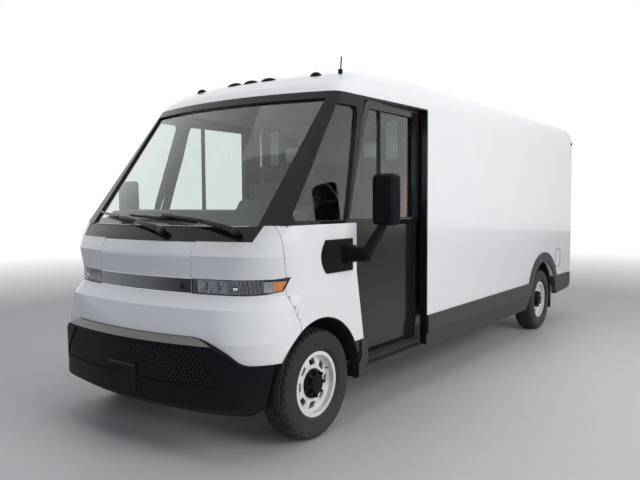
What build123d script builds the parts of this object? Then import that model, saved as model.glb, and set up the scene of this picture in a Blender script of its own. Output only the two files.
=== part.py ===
from build123d import *
import os
from math import cos, radians, sin, sqrt

# Electric delivery van, in millimetres. +X is the van's left (driver) side, the nose points
# along -Y, +Z is up, and the origin is on the ground below the middle of the van.
# Distances named *_back are measured rearwards from the front axle.

# ---- Overall sizes --------------------------------------
wheelbase = 4661.0
front_overhang = 810.0
rear_overhang = 1190.0
half_width = 1060.0
belt_height = 1446.0
eave_height = 2363.0
roof_rise = 277.0
roof_height = eave_height + roof_rise
floor_top = 660.0
side_bottom = 624.0

length = front_overhang + wheelbase + rear_overhang
front_axle = -length / 2 + front_overhang
rear_axle = front_axle + wheelbase

# ---- Clearances --------------------------------------
moving_gap = 6.0
pin_gap = 0.3
seam = 4.0

# ---- Wheels --------------------------------------
tyre_radius = 372.0
tyre_width = 225.0
wall_bulge = 63.0 / 112.8
rim_radius = 203.2
rim_width = 178.0
rim_flange = 19.0
rim_wall = 7.0
wheel_centre = half_width - 137.5
disc_offset = 52.0
disc_thickness = 9.0
slot_count = 8
slot_radius = 150.0
slot_height = 50.0
slot_width = 62.0
slot_corner = 12.0
hub_radius = 96.0
hub_cap_radius = 66.0
hub_cap_length = 46.0
spindle_radius = 32.0
kingpin_x = wheel_centre - 62.5
ball_joint_rise = 130.0
ball_pin_radius = 12.0

# ---- Chassis --------------------------------------
rail_x = 500.0
rail_width = 80.0
rail_bottom = 450.0
rail_top = 600.0
lift_pad_front_back = 780.0
lift_pad_rear_back = wheelbase - 841.0
lift_pad_length = 110.0
lift_pad_drop = 14.0
battery_front_back = 850.0
battery_length = wheelbase - 1911.0
battery_bottom = 290.0

# ---- Cab --------------------------------------
bow_radius = 2900.0
skin = 26.0
glass = 6.0
nose_seam_x = 472.0
fender_rear_back = 418.0
fender_foot_back = 510.0
arch_radius = 456.0
rear_arch_radius = 478.0
flare_radius = 587.0
liner_wall = 8.0
windscreen_slope = 0.78
windscreen_base = belt_height - 96.0
windscreen_foot_back = -606.0
screen_low = belt_height - 12.0
header_height = eave_height + 3.0
frame_wall = 55.0
waist_half = half_width - 15.0
crown_half = half_width - 115.0
crown_narrowing = 10.0
cab_corner = 90.0
hood_rear_line = belt_height - 100.0
hood_rear_half = half_width - 187.0
hood_step = 32.0
screen_half_low = half_width - 203.0
screen_half_high = half_width - 176.0
roof_front_back = 190.0
roof_seam_rise = 21.0
roof_wall = 24.0
ledge_line = 762.0
ledge_half = 560.0
bumper_line = 598.0
bumper_corner_x = 960.0

# ---- Doors --------------------------------------
door_outer_x = half_width - 100.0
door_sash_x = half_width - 75.0
door_thickness = 40.0
door_crease = 598.0
door_tuck = 16.0
door_front_back = 470.0
door_rear_back = 1500.0
door_bottom = 402.0
tread_top = 380.0
door_top = eave_height - 33.0
door_travel = 800.0
side_front_back = 1520.0
side_wall = 42.0
pillar_foot_back = 337.0
pillar_top_back = 660.0
liner_x = half_width - 158.0

# ---- Cargo box --------------------------------------
bumper_depth = 11.0
box_end_back = wheelbase + rear_overhang - bumper_depth
portal_depth = 60.0


def back(distance):
    """Y of a place that lies this far behind the front axle."""
    return front_axle + distance


def bow_sag(x, radius=bow_radius):
    """How far the bowed front lies behind its own middle at this x."""
    return radius - sqrt(radius**2 - x**2)


def draw(points):
    """A closed outline through these corners, made into a face of the sketch."""
    with BuildLine() as outline:
        Polyline(*points, close=True)
    make_face(outline.edges())


def slab(points, x_inner, x_outer, corner=0.0, shrink=0.0):
    """A plate lying along the van's side: outline in (y, z), between two values of x.

    The outline's corners can be rounded, and its edge drawn in by a shrink.
    """
    with BuildPart() as plate:
        with BuildSketch(Plane.YZ.offset(x_inner)) as outline:
            draw(points)
            if corner:
                fillet(outline.vertices(), corner)
            if shrink:
                offset(amount=-shrink, kind=Kind.INTERSECTION, mode=Mode.REPLACE)
        extrude(amount=x_outer - x_inner)
    return plate.part


def plan_prism(points, z_low, z_high):
    """An upright prism: outline in (x, y), between two heights."""
    with BuildPart() as prism:
        with BuildSketch(Plane.XY.offset(z_low)):
            draw(points)
        extrude(amount=z_high - z_low)
    return prism.part


def block(x, y, z):
    """A box between two values of x, y and z."""
    with BuildPart() as box:
        with Locations(((x[0] + x[1]) / 2, (y[0] + y[1]) / 2, (z[0] + z[1]) / 2)):
            Box(x[1] - x[0], y[1] - y[0], z[1] - z[0])
    return box.part


def rod(start, end, radius):
    """A round bar between two points."""
    with BuildPart() as bar:
        direction = Vector(*end) - Vector(*start)
        with BuildSketch(Plane(origin=start, z_dir=direction)):
            Circle(radius)
        extrude(amount=direction.length)
    return bar.part


def tapered_bar(start, end, start_size, end_size, corner):
    """A bar with a rounded oblong section, which changes in size from one end to the other."""
    with BuildPart() as bar:
        direction = Vector(*end) - Vector(*start)
        across = Vector(0, 1, 0) if abs(direction.X) > abs(direction.Z) else Vector(1, 0, 0)
        for place, size in ((start, start_size), (end, end_size)):
            with BuildSketch(Plane(origin=place, x_dir=across, z_dir=direction)):
                RectangleRounded(*size, corner)
        loft(ruled=True)
    return bar.part


def plan_section(z, front, half, corner, rear_half=None, rear=0.0, inset=0.0):
    """One level of the cab: a bowed front with round corners, between straight sides.

    front and rear are y values; inset moves the whole outline inwards by a wall.
    """
    front_y = front + inset
    side = half - inset
    rear_side = (rear_half or half) - inset
    with BuildSketch(Plane.XY.offset(z)) as level:
        with BuildLine():
            corner_y = front_y + bow_sag(side)
            ThreePointArc((-side, corner_y), (0, front_y), (side, corner_y))
            Polyline((side, corner_y), (rear_side, rear), (-rear_side, rear), (-side, corner_y))
        make_face()
        fillet(level.vertices().group_by(Axis.Y)[0], max(corner - inset, 20.0))
    return level.sketch


def lengthwise(points, y_low, y_high):
    """A bar that runs along the van: outline in (x, z), between two values of y."""
    with BuildPart() as bar:
        with BuildSketch(Plane.XZ.offset(-y_high)):
            draw(points)
        extrude(amount=y_high - y_low)
    return bar.part


# Levels of the nose: height, middle of the front (back from the axle), half width, corner.
nose_levels = (
    (560.0, -770.0, half_width, 420.0),
    (725.0, -770.0, half_width, 420.0),
    (930.0, -742.0, half_width, 500.0),
    (1010.0, -652.0, half_width, 450.0),
    (1112.0, -652.0, half_width, 450.0),
    (1255.0, -658.0, half_width, 350.0),
    (1350.0, -606.0, half_width, 250.0),
    (1500.0, -510.0, half_width, 150.0),
)
bumper_levels = (
    (275.0, 90.0 - front_overhang, half_width - 20.0, 430.0),
    (330.0, 8.0 - front_overhang, half_width, 450.0),
    (600.0, -front_overhang, half_width, 460.0),
    (716.0, -front_overhang, half_width, 450.0),
    (ledge_line + 3.0, 38.0 - front_overhang, half_width, 430.0),
)
nose_rear = back(700.0)


def loft_levels(levels, inset=0.0):
    """The solid through a list of cab levels, straight between one level and the next."""
    with BuildPart() as mass:
        for z, front, half, corner in levels:
            add(plan_section(z, back(front), half, corner, rear=nose_rear, inset=inset))
        loft(ruled=True)
    return mass.part


def cylinder_across(y, z, radius, x_inner, x_outer):
    """A disc or drum on an axis that runs across the van."""
    with BuildPart() as drum:
        with BuildSketch(Plane.YZ.offset(x_inner)):
            with Locations((y, z)):
                Circle(radius)
        extrude(amount=x_outer - x_inner)
    return drum.part


# ---- Chassis: rails, battery, drive, suspension --------------------------------------
rail_inner = rail_x - rail_width / 2
rail_outer = rail_x + rail_width / 2
bumper_wall = 36.0
rail_front = back(4.4 - front_overhang + bumper_wall) + bow_sag(rail_outer)
rail_rear = back(box_end_back - 130.0)
member_places = (-600.0, 720.0, wheelbase - 961.0, wheelbase - 411.0, wheelbase + 439.0,
                 wheelbase + 959.0)
member_width = 70.0
member_hole_x = 230.0
member_hole_radius = 38.0

with BuildPart() as frame_rails:
    for side in (-1, 1):
        rail_low_x = side * rail_x - rail_width / 2
        rail_high_x = side * rail_x + rail_width / 2
        add(block((rail_low_x, rail_high_x), (rail_front, rail_rear), (rail_bottom, rail_top)))
        for place in (lift_pad_front_back, lift_pad_rear_back):
            pad_y = (back(place - lift_pad_length / 2), back(place + lift_pad_length / 2))
            add(block((rail_low_x + 6.0, rail_high_x - 6.0), pad_y,
                      (rail_bottom - lift_pad_drop, rail_bottom)))
    for place in member_places:
        member_y = (back(place), back(place) + member_width)
        add(block((-rail_inner, rail_inner), member_y, (rail_bottom + 30.0, rail_top)))
        with Locations((0, back(place) + member_width / 2, (rail_bottom + 30.0 + rail_top) / 2)):
            with GridLocations(2 * member_hole_x, 1.0, 2, 1):
                Cylinder(member_hole_radius, member_width + 2.0, rotation=(90, 0, 0), mode=Mode.SUBTRACT)
frame_rails.part.label = "frame_rails"

battery_lug = 30.0
battery_chamfer = 40.0
rib_count = 6
rib_width = 60.0
rib_depth = 10.0
with BuildPart() as battery_pack:
    battery_y = (back(battery_front_back), back(battery_front_back) + battery_length)
    pack_half = rail_inner - 5.0
    add(lengthwise(((-pack_half, rail_top), (pack_half, rail_top),
                    (pack_half, battery_bottom + battery_chamfer),
                    (pack_half - battery_chamfer, battery_bottom),
                    (battery_chamfer - pack_half, battery_bottom),
                    (-pack_half, battery_bottom + battery_chamfer)), *battery_y))
    add(block((-rail_outer, rail_outer), battery_y, (rail_bottom - battery_lug, rail_bottom)))
    rib_pitch = battery_length / rib_count
    for row in range(rib_count):
        rib_y = battery_y[0] + (row + 0.5) * rib_pitch - rib_width / 2
        add(block((battery_chamfer - pack_half, pack_half - battery_chamfer), (rib_y, rib_y + rib_width),
                  (battery_bottom - rib_depth, battery_bottom)))
battery_pack.part.label = "battery_pack"

subframe_x = 380.0
subframe_low = 200.0
subframe_bar = 60.0
subframe_reach = 235.0
subframe_bar_y = 70.0
arm_thickness = 24.0
arm_spread = 130.0
upper_arm_spread = 80.0
lower_joint = tyre_radius - ball_joint_rise
upper_joint = tyre_radius + ball_joint_rise
pin_depth = 28.0
damper_foot_x = 690.0
damper_head_x = 590.0
damper_radius = 28.0
spring_core_radius = 38.0
spring_seat_radius = 52.0
spring_coils = 6
spring_wire = 8.0
spring_margin = 66.0


def wishbone(root_x, spread, z_low):
    """A flat forked arm from its root on the frame out to the ball joint on the kingpin."""
    reach = kingpin_x - root_x
    with BuildPart() as arm:
        with BuildSketch(Plane.XY.offset(z_low)):
            draw(((root_x, back(-spread)), (root_x, back(spread)), (kingpin_x, back(26.0)),
                  (kingpin_x, back(-26.0))))
            with Locations((kingpin_x, front_axle)):
                Circle(30.0)
            with Locations((root_x + reach * 0.22, front_axle)):
                RectangleRounded(reach * 0.24, spread * 0.9, 12.0, mode=Mode.SUBTRACT)
        extrude(amount=arm_thickness)
    return arm.part


def spring_strut():
    """Damper with its coil spring, from the lower arm up to a bracket on the frame rail."""
    foot = Vector(damper_foot_x, front_axle, lower_joint - 8.0)
    head = Vector(damper_head_x, front_axle, rail_top - 40.0)
    along = (head - foot).normalized()
    travel = (head - foot).length
    with BuildPart() as strut:
        add(rod(tuple(foot), tuple(head), damper_radius))
        add(rod(tuple(foot + along * spring_margin), tuple(head - along * spring_margin), spring_core_radius))
        pitch = (travel - 2 * spring_margin) / spring_coils
        for coil in range(spring_coils + 1):
            place = foot + along * (spring_margin + coil * pitch - spring_wire)
            add(rod(tuple(place), tuple(place + along * 2 * spring_wire), spring_seat_radius))
        add(block((rail_outer + pin_gap, damper_head_x + 40.0), (back(-60.0), back(60.0)),
                  (rail_top - 52.0, rail_top - 28.0)))
    return strut.part


with BuildPart() as subframe:
    bar_inner = subframe_x - subframe_bar / 2
    bar_outer = subframe_x + subframe_bar / 2
    add(block((bar_inner, bar_outer), (back(-subframe_reach), back(subframe_reach)),
              (subframe_low, subframe_low + subframe_bar)))
    for end in (-1, 1):
        beam_y = sorted((back(end * subframe_reach), back(end * (subframe_reach - subframe_bar_y))))
        add(block((bar_inner, bar_outer), beam_y, (subframe_low, rail_bottom)))
        add(block((0.0, rail_outer), beam_y, (rail_bottom - 60.0, rail_bottom)))
    lower_arm_low = lower_joint - arm_thickness
    add(wishbone(bar_outer - 2.0, arm_spread, lower_arm_low))
    add(rod((kingpin_x, front_axle, lower_joint - 1.0),
            (kingpin_x, front_axle, lower_joint + pin_depth), ball_pin_radius))
    add(spring_strut())
    mirror(about=Plane.YZ)
upper_root = damper_head_x + 60.0
with BuildPart() as upper_arms:
    add(wishbone(upper_root, upper_arm_spread, upper_joint + pin_gap))
    for end in (-1, 1):
        leg_y = sorted((back(end * (upper_arm_spread - 22.0)), back(end * upper_arm_spread)))
        add(block((rail_outer, upper_root + 2.0), leg_y,
                  (upper_joint + pin_gap, upper_joint + pin_gap + arm_thickness)))
    add(rod((kingpin_x, front_axle, upper_joint - pin_depth),
            (kingpin_x, front_axle, upper_joint + 1.0), ball_pin_radius))
    mirror(about=Plane.YZ)
with BuildPart() as front_suspension:
    add(subframe.part)
    add(upper_arms.part)
front_suspension.part.label = "front_suspension"

motor_radius = 125.0
motor_half = 210.0
gear_case = 260.0
with BuildPart() as drive_unit:
    drive_low = subframe_low + subframe_bar
    drive_y = back(20.0)
    add(cylinder_across(drive_y, drive_low + motor_radius, motor_radius, -motor_half, motor_half))
    add(block((-90.0, 90.0), (drive_y - gear_case / 2, drive_y + gear_case / 2),
              (drive_low, drive_low + gear_case)))
    add(block((-motor_half, motor_half), (drive_y - 90.0, drive_y + 110.0),
              (drive_low + gear_case - 30.0, rail_top - 40.0)))
    add(block((-bar_outer, bar_outer), (back(-60.0), back(60.0)), (drive_low, drive_low + 20.0)))
drive_unit.part.label = "drive_unit"

axle_tube = 45.0
hub_drum = 90.0
spring_half = 560.0
spring_width = 70.0
leaf_count = 4
leaf_thickness = 13.0
leaf_camber = 62.0
leaf_step = 125.0
eye_radius = 24.0
hanger_width = 20.0
with BuildPart() as rear_suspension:
    add(cylinder_across(rear_axle, tyre_radius, axle_tube, -780.0, 780.0))
    add(cylinder_across(rear_axle, tyre_radius, hub_drum, 760.0, 800.0))
    add(cylinder_across(rear_axle, tyre_radius, hub_drum, -800.0, -760.0))
    spindle_end = wheel_centre + disc_offset - disc_thickness - 6.0
    add(cylinder_across(rear_axle, tyre_radius, spindle_radius, -spindle_end, spindle_end))
    for side in (-1, 1):
        leaf_x = side * rail_x - spring_width / 2
        seat_z = tyre_radius - axle_tube
        for row in range(leaf_count):
            half = spring_half - row * leaf_step
            middle = seat_z - row * leaf_thickness
            rise = leaf_camber * (half / spring_half) ** 2
            with BuildSketch(Plane.YZ.offset(leaf_x)):
                with BuildLine():
                    ThreePointArc((rear_axle - half, middle + rise), (rear_axle, middle),
                                  (rear_axle + half, middle + rise))
                    Line((rear_axle + half, middle + rise),
                         (rear_axle + half, middle + rise - leaf_thickness))
                    ThreePointArc((rear_axle + half, middle + rise - leaf_thickness),
                                  (rear_axle, middle - leaf_thickness),
                                  (rear_axle - half, middle + rise - leaf_thickness))
                    Line((rear_axle - half, middle + rise - leaf_thickness),
                         (rear_axle - half, middle + rise))
                make_face()
            extrude(amount=spring_width)
        clamp_low = seat_z - leaf_count * leaf_thickness - 12.0
        for end in (-1, 1):
            add(block((leaf_x, leaf_x + spring_width),
                      sorted((rear_axle + end * 34.0, rear_axle + end * 64.0)),
                      (clamp_low, tyre_radius + axle_tube)))
            eye_y = rear_axle + end * spring_half
            eye_z = seat_z + leaf_camber
            add(cylinder_across(eye_y, eye_z, eye_radius, leaf_x, leaf_x + spring_width))
            add(block((leaf_x + 6.0, leaf_x + 6.0 + hanger_width), (eye_y - 26.0, eye_y + 26.0),
                      (eye_z, rail_bottom)))
            add(block((leaf_x + spring_width - 6.0 - hanger_width, leaf_x + spring_width - 6.0),
                      (eye_y - 26.0, eye_y + 26.0), (eye_z, rail_bottom)))
        add(block((leaf_x, leaf_x + spring_width), (rear_axle - 80.0, rear_axle + 80.0),
                  (clamp_low - 8.0, clamp_low + 8.0)))
rear_suspension.part.label = "rear_suspension"


# ---- Knuckles --------------------------------------
def knuckle(side):
    """Upright between the two ball joints, with the wheel's spindle and a steering arm."""
    with BuildPart() as upright:
        add(block((kingpin_x - 24.0, kingpin_x + 16.0), (front_axle - 40.0, front_axle + 40.0),
                  (lower_joint + pin_gap, upper_joint)))
        add(cylinder_across(front_axle, tyre_radius, 70.0, kingpin_x, kingpin_x + 16.0))
        add(cylinder_across(front_axle, tyre_radius, spindle_radius, kingpin_x, spindle_end))
        add(block((kingpin_x - 20.0, kingpin_x + 4.0), (front_axle, front_axle + 140.0),
                  (tyre_radius - 40.0, tyre_radius - 16.0)))
        with Locations((kingpin_x, front_axle, lower_joint)):
            Cylinder(ball_pin_radius + pin_gap, 2 * (pin_depth + 2.0), mode=Mode.SUBTRACT)
        with Locations((kingpin_x, front_axle, upper_joint)):
            Cylinder(ball_pin_radius + pin_gap, 2 * (pin_depth + 2.0), mode=Mode.SUBTRACT)
        if side < 0:
            mirror(about=Plane.YZ, mode=Mode.REPLACE)
    return upright


knuckle_left = knuckle(1)
knuckle_left.part.label = "knuckle_left"
knuckle_right = knuckle(-1)
knuckle_right.part.label = "knuckle_right"


# ---- Tyres and rims --------------------------------------
def wheel_plane(side, axle):
    """Plane through the wheel's axis: local x runs outwards, local y runs up."""
    return Plane(origin=(side * wheel_centre, axle, tyre_radius), x_dir=(side, 0, 0),
                 z_dir=(0, -side, 0))


def tyre(side, axle):
    """Tyre as one closed ring with bulging walls and a slightly crowned tread."""
    half = tyre_width / 2
    bead = rim_width / 2 - rim_wall - pin_gap
    flank = rim_radius + rim_flange + 3.0
    wall_top = tyre_radius - 34.0
    bulge = flank + wall_bulge * (wall_top - flank)
    with BuildPart() as ring:
        with BuildSketch(wheel_plane(side, axle)):
            with BuildLine():
                shoulder = (half - 22.0, tyre_radius - 8.0)
                Polyline((-bead, flank), (-bead, rim_radius), (bead, rim_radius), (bead, flank))
                ThreePointArc((bead, flank), (half, bulge), (half - 6.0, wall_top))
                Line((half - 6.0, wall_top), shoulder)
                ThreePointArc(shoulder, (0, tyre_radius), (-shoulder[0], shoulder[1]))
                Line((-half + 6.0, wall_top), (-shoulder[0], shoulder[1]))
                ThreePointArc((-half + 6.0, wall_top), (-half, bulge), (-bead, flank))
            make_face()
        revolve(axis=Axis((side * wheel_centre, axle, tyre_radius), (1, 0, 0)))
    return ring


def rim(side, axle):
    """Pressed steel rim: flanged barrel, slotted disc, hub boss and cap."""
    half = rim_width / 2
    seat = rim_radius - pin_gap
    place = Axis((side * wheel_centre, axle, tyre_radius), (1, 0, 0))
    with BuildPart() as steel:
        with BuildSketch(wheel_plane(side, axle)):
            draw(((-half, seat + rim_flange), (-half + rim_wall, seat + rim_flange), (-half + rim_wall, seat),
                  (-50.0, seat), (-35.0, seat - 18.0), (35.0, seat - 18.0), (50.0, seat),
                  (half - rim_wall, seat), (half - rim_wall, seat + rim_flange), (half, seat + rim_flange),
                  (half, seat - rim_wall), (54.0, seat - rim_wall), (38.0, seat - 18.0 - rim_wall),
                  (-38.0, seat - 18.0 - rim_wall), (-54.0, seat - rim_wall), (-half, seat - rim_wall)))
        revolve(axis=place)
        with BuildSketch(wheel_plane(side, axle)):
            draw(((20.0, seat - 20.0), (34.0, seat - 20.0), (disc_offset, slot_radius - 5.0),
                  (disc_offset, hub_radius), (disc_offset + 14.0, hub_radius - 12.0),
                  (disc_offset + 14.0, hub_cap_radius),
                  (disc_offset + hub_cap_length - 12.0, hub_cap_radius - 4.0),
                  (disc_offset + hub_cap_length, hub_cap_radius - 18.0),
                  (disc_offset + hub_cap_length, 0.0), (disc_offset, 0.0),
                  (disc_offset, spindle_radius + pin_gap), (-40.0, spindle_radius + pin_gap),
                  (-40.0, hub_cap_radius), (disc_offset - disc_thickness, hub_cap_radius),
                  (disc_offset - disc_thickness, slot_radius - 9.0)))
        revolve(axis=place)
        face = Plane(origin=(side * wheel_centre, axle, tyre_radius), x_dir=(0, 1, 0), z_dir=(side, 0, 0))
        with BuildSketch(face):
            with PolarLocations(slot_radius, slot_count):
                RectangleRounded(slot_height, slot_width, slot_corner)
        extrude(amount=rim_width, both=False, mode=Mode.SUBTRACT)
    return steel


wheel_places = (
    ("front_left", 1, front_axle),
    ("front_right", -1, front_axle),
    ("rear_left", 1, rear_axle),
    ("rear_right", -1, rear_axle),
)
wheels = []
for name, side, axle in wheel_places:
    for kind, made in (("tyre", tyre(side, axle)), ("rim", rim(side, axle))):
        made.part.label = f"{kind}_{name}"
        wheels.append(made)

# ---- Floor --------------------------------------
floor_wall = floor_top - rail_top
wheel_bay = 590.0
bay_inner = 780.0
bay_reach = 500.0
box_inner = half_width - side_wall
pocket_end_back = side_front_back + door_travel + 150.0
floor_side = liner_x - 8.0
bay_top = tyre_radius + bay_reach
bay_wall = 10.0
cab_floor_front = -360.0
deck_half = 755.0
deck_rise = 8.0
bulkhead_back = side_front_back + 80.0
bulkhead_wall = 30.0
with BuildPart() as floor_pan:
    front_bay_end = back(arch_radius + 6.0)
    add(plan_prism(((-wheel_bay, back(cab_floor_front)), (wheel_bay, back(cab_floor_front)),
                    (wheel_bay, front_bay_end), (floor_side, front_bay_end),
                    (floor_side, back(pocket_end_back)), (box_inner, back(pocket_end_back)),
                    (box_inner, back(box_end_back - portal_depth)),
                    (-box_inner, back(box_end_back - portal_depth)),
                    (-box_inner, back(pocket_end_back)), (-floor_side, back(pocket_end_back)),
                    (-floor_side, front_bay_end), (-wheel_bay, front_bay_end)),
                   rail_top, rail_top + floor_wall))
    bay_y = (rear_axle - bay_reach, rear_axle + bay_reach)
    inner_y = (bay_y[0] + bay_wall, bay_y[1] - bay_wall)
    for side in (-1, 1):
        add(block(sorted((side * (bay_inner - bay_wall), side * box_inner)), bay_y,
                  (rail_top, bay_top + bay_wall)))
    for side in (-1, 1):
        bay = block(sorted((side * bay_inner, side * box_inner)), inner_y, (rail_top, bay_top))
        add(bay, mode=Mode.SUBTRACT)
    add(block((-deck_half, deck_half),
              (back(bulkhead_back + bulkhead_wall + 70.0), back(box_end_back - 140.0)),
              (floor_top, floor_top + deck_rise)))
floor_pan.part.label = "floor_pan"

# ---- Cargo box: sides, door pockets, bulkhead --------------------------------------
port_y = rear_axle + 589.0
port_z = 852.0
port_width = 236.0
port_height = 240.0
port_corner = 40.0
port_depth = 30.0
port_lid = 10.0
lid_gap = 5.0
lug_inset = 24.0
inlet_radius = 34.0
inlet_rise = 12.0
with BuildPart() as cargo_side_left:
    side_end = back(box_end_back - portal_depth)
    add(slab(((back(side_front_back), side_bottom), (side_end, side_bottom), (side_end, eave_height),
              (back(side_front_back), eave_height)), box_inner, half_width))
    add(cylinder_across(rear_axle, tyre_radius, rear_arch_radius, box_inner - 1.0, half_width + 1.0),
        mode=Mode.SUBTRACT)
    with BuildSketch(Plane.YZ.offset(half_width)):
        with Locations((port_y, port_z)):
            RectangleRounded(port_width, port_height, port_corner)
    extrude(amount=-port_depth, mode=Mode.SUBTRACT)
    for end in (-1, 1):
        add(cylinder_across(port_y + end * (port_width / 2 - lug_inset), port_z, 8.0,
                            half_width - port_depth - 1.0, half_width - port_lid - pin_gap))
    add(cylinder_across(port_y, port_z, inlet_radius, half_width - port_depth - 1.0,
                        half_width - port_depth + inlet_rise))
cargo_side_left.part.label = "cargo_side_left"

with BuildPart() as cargo_side_right:
    add(slab(((back(side_front_back), side_bottom), (side_end, side_bottom), (side_end, eave_height),
              (back(side_front_back), eave_height)), -half_width, -box_inner))
    add(cylinder_across(rear_axle, tyre_radius, rear_arch_radius, -half_width - 1.0, 1.0 - box_inner),
        mode=Mode.SUBTRACT)
cargo_side_right.part.label = "cargo_side_right"

with BuildPart() as charge_port_door:
    with BuildSketch(Plane.YZ.offset(half_width - port_lid)):
        with Locations((port_y, port_z)):
            RectangleRounded(port_width - 2 * lid_gap, port_height - 2 * lid_gap, port_corner - lid_gap)
    extrude(amount=port_lid)
charge_port_door.part.label = "charge_port_door"

pocket_wall = 8.0
lining_top = eave_height - 20.0
track_depth = 20.0
with BuildPart() as door_pockets:
    pocket_end = back(pocket_end_back)
    pocket_start = back(side_front_back + 70.0)
    pocket_low_x = liner_x - pocket_wall
    add(plan_prism(((pocket_low_x, pocket_start), (liner_x, pocket_start),
                    (liner_x, pocket_end - pocket_wall),
                    (box_inner, pocket_end - pocket_wall), (box_inner, pocket_end),
                    (pocket_low_x, pocket_end)), floor_top, lining_top))
    add(block((pocket_low_x, door_sash_x), (back(pillar_top_back + 20.0), pocket_end - 4.0),
              (door_top + pin_gap, door_top + track_depth)))
    mirror(about=Plane.YZ)
door_pockets.part.label = "door_pockets"

passage_half = 330.0
passage_top = 2180.0
passage_sill = 40.0
passage_leaf = 14.0
leaf_window_half = 200.0
leaf_window_low = 1300.0
leaf_window_high = 1950.0
side_window_inner = 400.0
side_window_outer = 700.0
side_window_low = 1985.0
side_window_high = 2250.0
with BuildPart() as bulkhead:
    face_y = back(bulkhead_back)
    end_y = face_y + bulkhead_wall
    add(block((pocket_wall - liner_x, liner_x - pocket_wall), (face_y, end_y), (floor_top, lining_top)))
    add(block((-passage_half, passage_half), (face_y - 1.0, end_y + 1.0),
              (floor_top + passage_sill, passage_top)), mode=Mode.SUBTRACT)
    leaf_y = (face_y + passage_leaf / 2, end_y - passage_leaf / 2)
    add(block((-passage_half, passage_half), leaf_y, (floor_top + passage_sill, passage_top)))
    add(block((-leaf_window_half, leaf_window_half), (face_y, end_y), (leaf_window_low, leaf_window_high)),
        mode=Mode.SUBTRACT)
    add(block((passage_half - 90.0, passage_half - 50.0), (face_y - 20.0, face_y + passage_leaf),
              (1040.0, 1240.0)))
    for side in (-1, 1):
        add(block(sorted((side * side_window_inner, side * side_window_outer)), (face_y - 1.0, end_y + 1.0),
                  (side_window_low, side_window_high)), mode=Mode.SUBTRACT)
bulkhead.part.label = "bulkhead"

# ---- Roof --------------------------------------
# Levels of the roof: share of its rise, middle of the front, drop in half width, corner.
roof_levels = (
    (-0.047, 165.0, 0.0, 110.0),
    (0.134, 221.0, 3.0, 115.0),
    (0.314, 286.0, 12.0, 125.0),
    (0.495, 374.0, 30.0, 150.0),
    (0.621, 438.0, 52.0, 165.0),
    (0.733, 520.0, 84.0, 180.0),
    (0.819, 640.0, 135.0, 195.0),
    (0.863, 745.0, 168.0, 205.0),
    (0.899, 880.0, 205.0, 220.0),
)
crown_edge = half_width - 205.0
crown_bed = 0.3
crown_low = eave_height + 0.899 * roof_rise
roof_narrowing = half_width - crown_half
cab_rear = back(side_front_back)
roof_end = back(box_end_back - portal_depth)
box_end = back(box_end_back)


def roof_section(z, front, half, corner, rear):
    """One level of the roof: bowed front, sides that widen back to the cargo box."""
    nose_half = half - roof_narrowing
    with BuildSketch(Plane.XY.offset(z)) as level:
        with BuildLine():
            corner_y = front + bow_sag(nose_half)
            ThreePointArc((-nose_half, corner_y), (0, front), (nose_half, corner_y))
            Polyline((nose_half, corner_y), (half, cab_rear), (half, rear), (-half, rear),
                     (-half, cab_rear), (-nose_half, corner_y))
        make_face()
        fillet(level.vertices().group_by(Axis.Y)[0], corner)
    return level.sketch


def roof_mass(rear, inset=0.0):
    """The whole roof back to one plane: smooth shoulders and cap, with a crowned top."""
    with BuildPart() as shell:
        for share, front, drop, corner in roof_levels:
            add(roof_section(eave_height + share * roof_rise - inset, back(front) + inset,
                             half_width - drop - inset, corner, rear))
        loft(ruled=True)
    with BuildPart() as crown:
        last_front = back(roof_levels[-1][1]) + inset
        low = crown_low - inset - crown_bed
        high = roof_height - inset
        add(roof_section(low, last_front, crown_edge - inset, roof_levels[-1][3], rear))
        extrude(amount=high - low + 5.0)
        with BuildSketch(Plane.YZ.offset(-half_width)):
            with BuildLine():
                Spline((last_front - 1.0, low), (back(1150.0), high - 13.0), (back(1500.0), high - 3.0),
                       (back(1900.0), high))
                Polyline((back(1900.0), high), (rear + 1.0, high), (rear + 1.0, low - 1.0),
                         (last_front - 1.0, low - 1.0), (last_front - 1.0, low))
            make_face()
        extrude(amount=2 * half_width, mode=Mode.INTERSECT)
        with BuildSketch(Plane.XZ.offset(-rear - 1.0)):
            with BuildLine():
                ThreePointArc((inset - crown_edge, low), (0, high), (crown_edge - inset, low))
                Line((crown_edge - inset, low), (inset - crown_edge, low))
            make_face()
        extrude(amount=length, mode=Mode.INTERSECT)
    with BuildPart() as mass:
        add(shell.part)
        add(crown.part)
    return mass.part


seam_cut = ((back(roof_front_back - 300.0), eave_height - 60.0),
            (back(roof_front_back - 300.0), eave_height + roof_seam_rise + 5.0), (cab_rear, eave_height),
            (box_end + 10.0, eave_height), (box_end + 10.0, eave_height - 60.0))
with BuildPart() as roof:
    add(roof_mass(roof_end))
    add(slab(seam_cut, -half_width - 5.0, half_width + 5.0), mode=Mode.SUBTRACT)
    add(roof_mass(roof_end + 10.0, roof_wall), mode=Mode.SUBTRACT)
roof.part.label = "roof"

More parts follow.
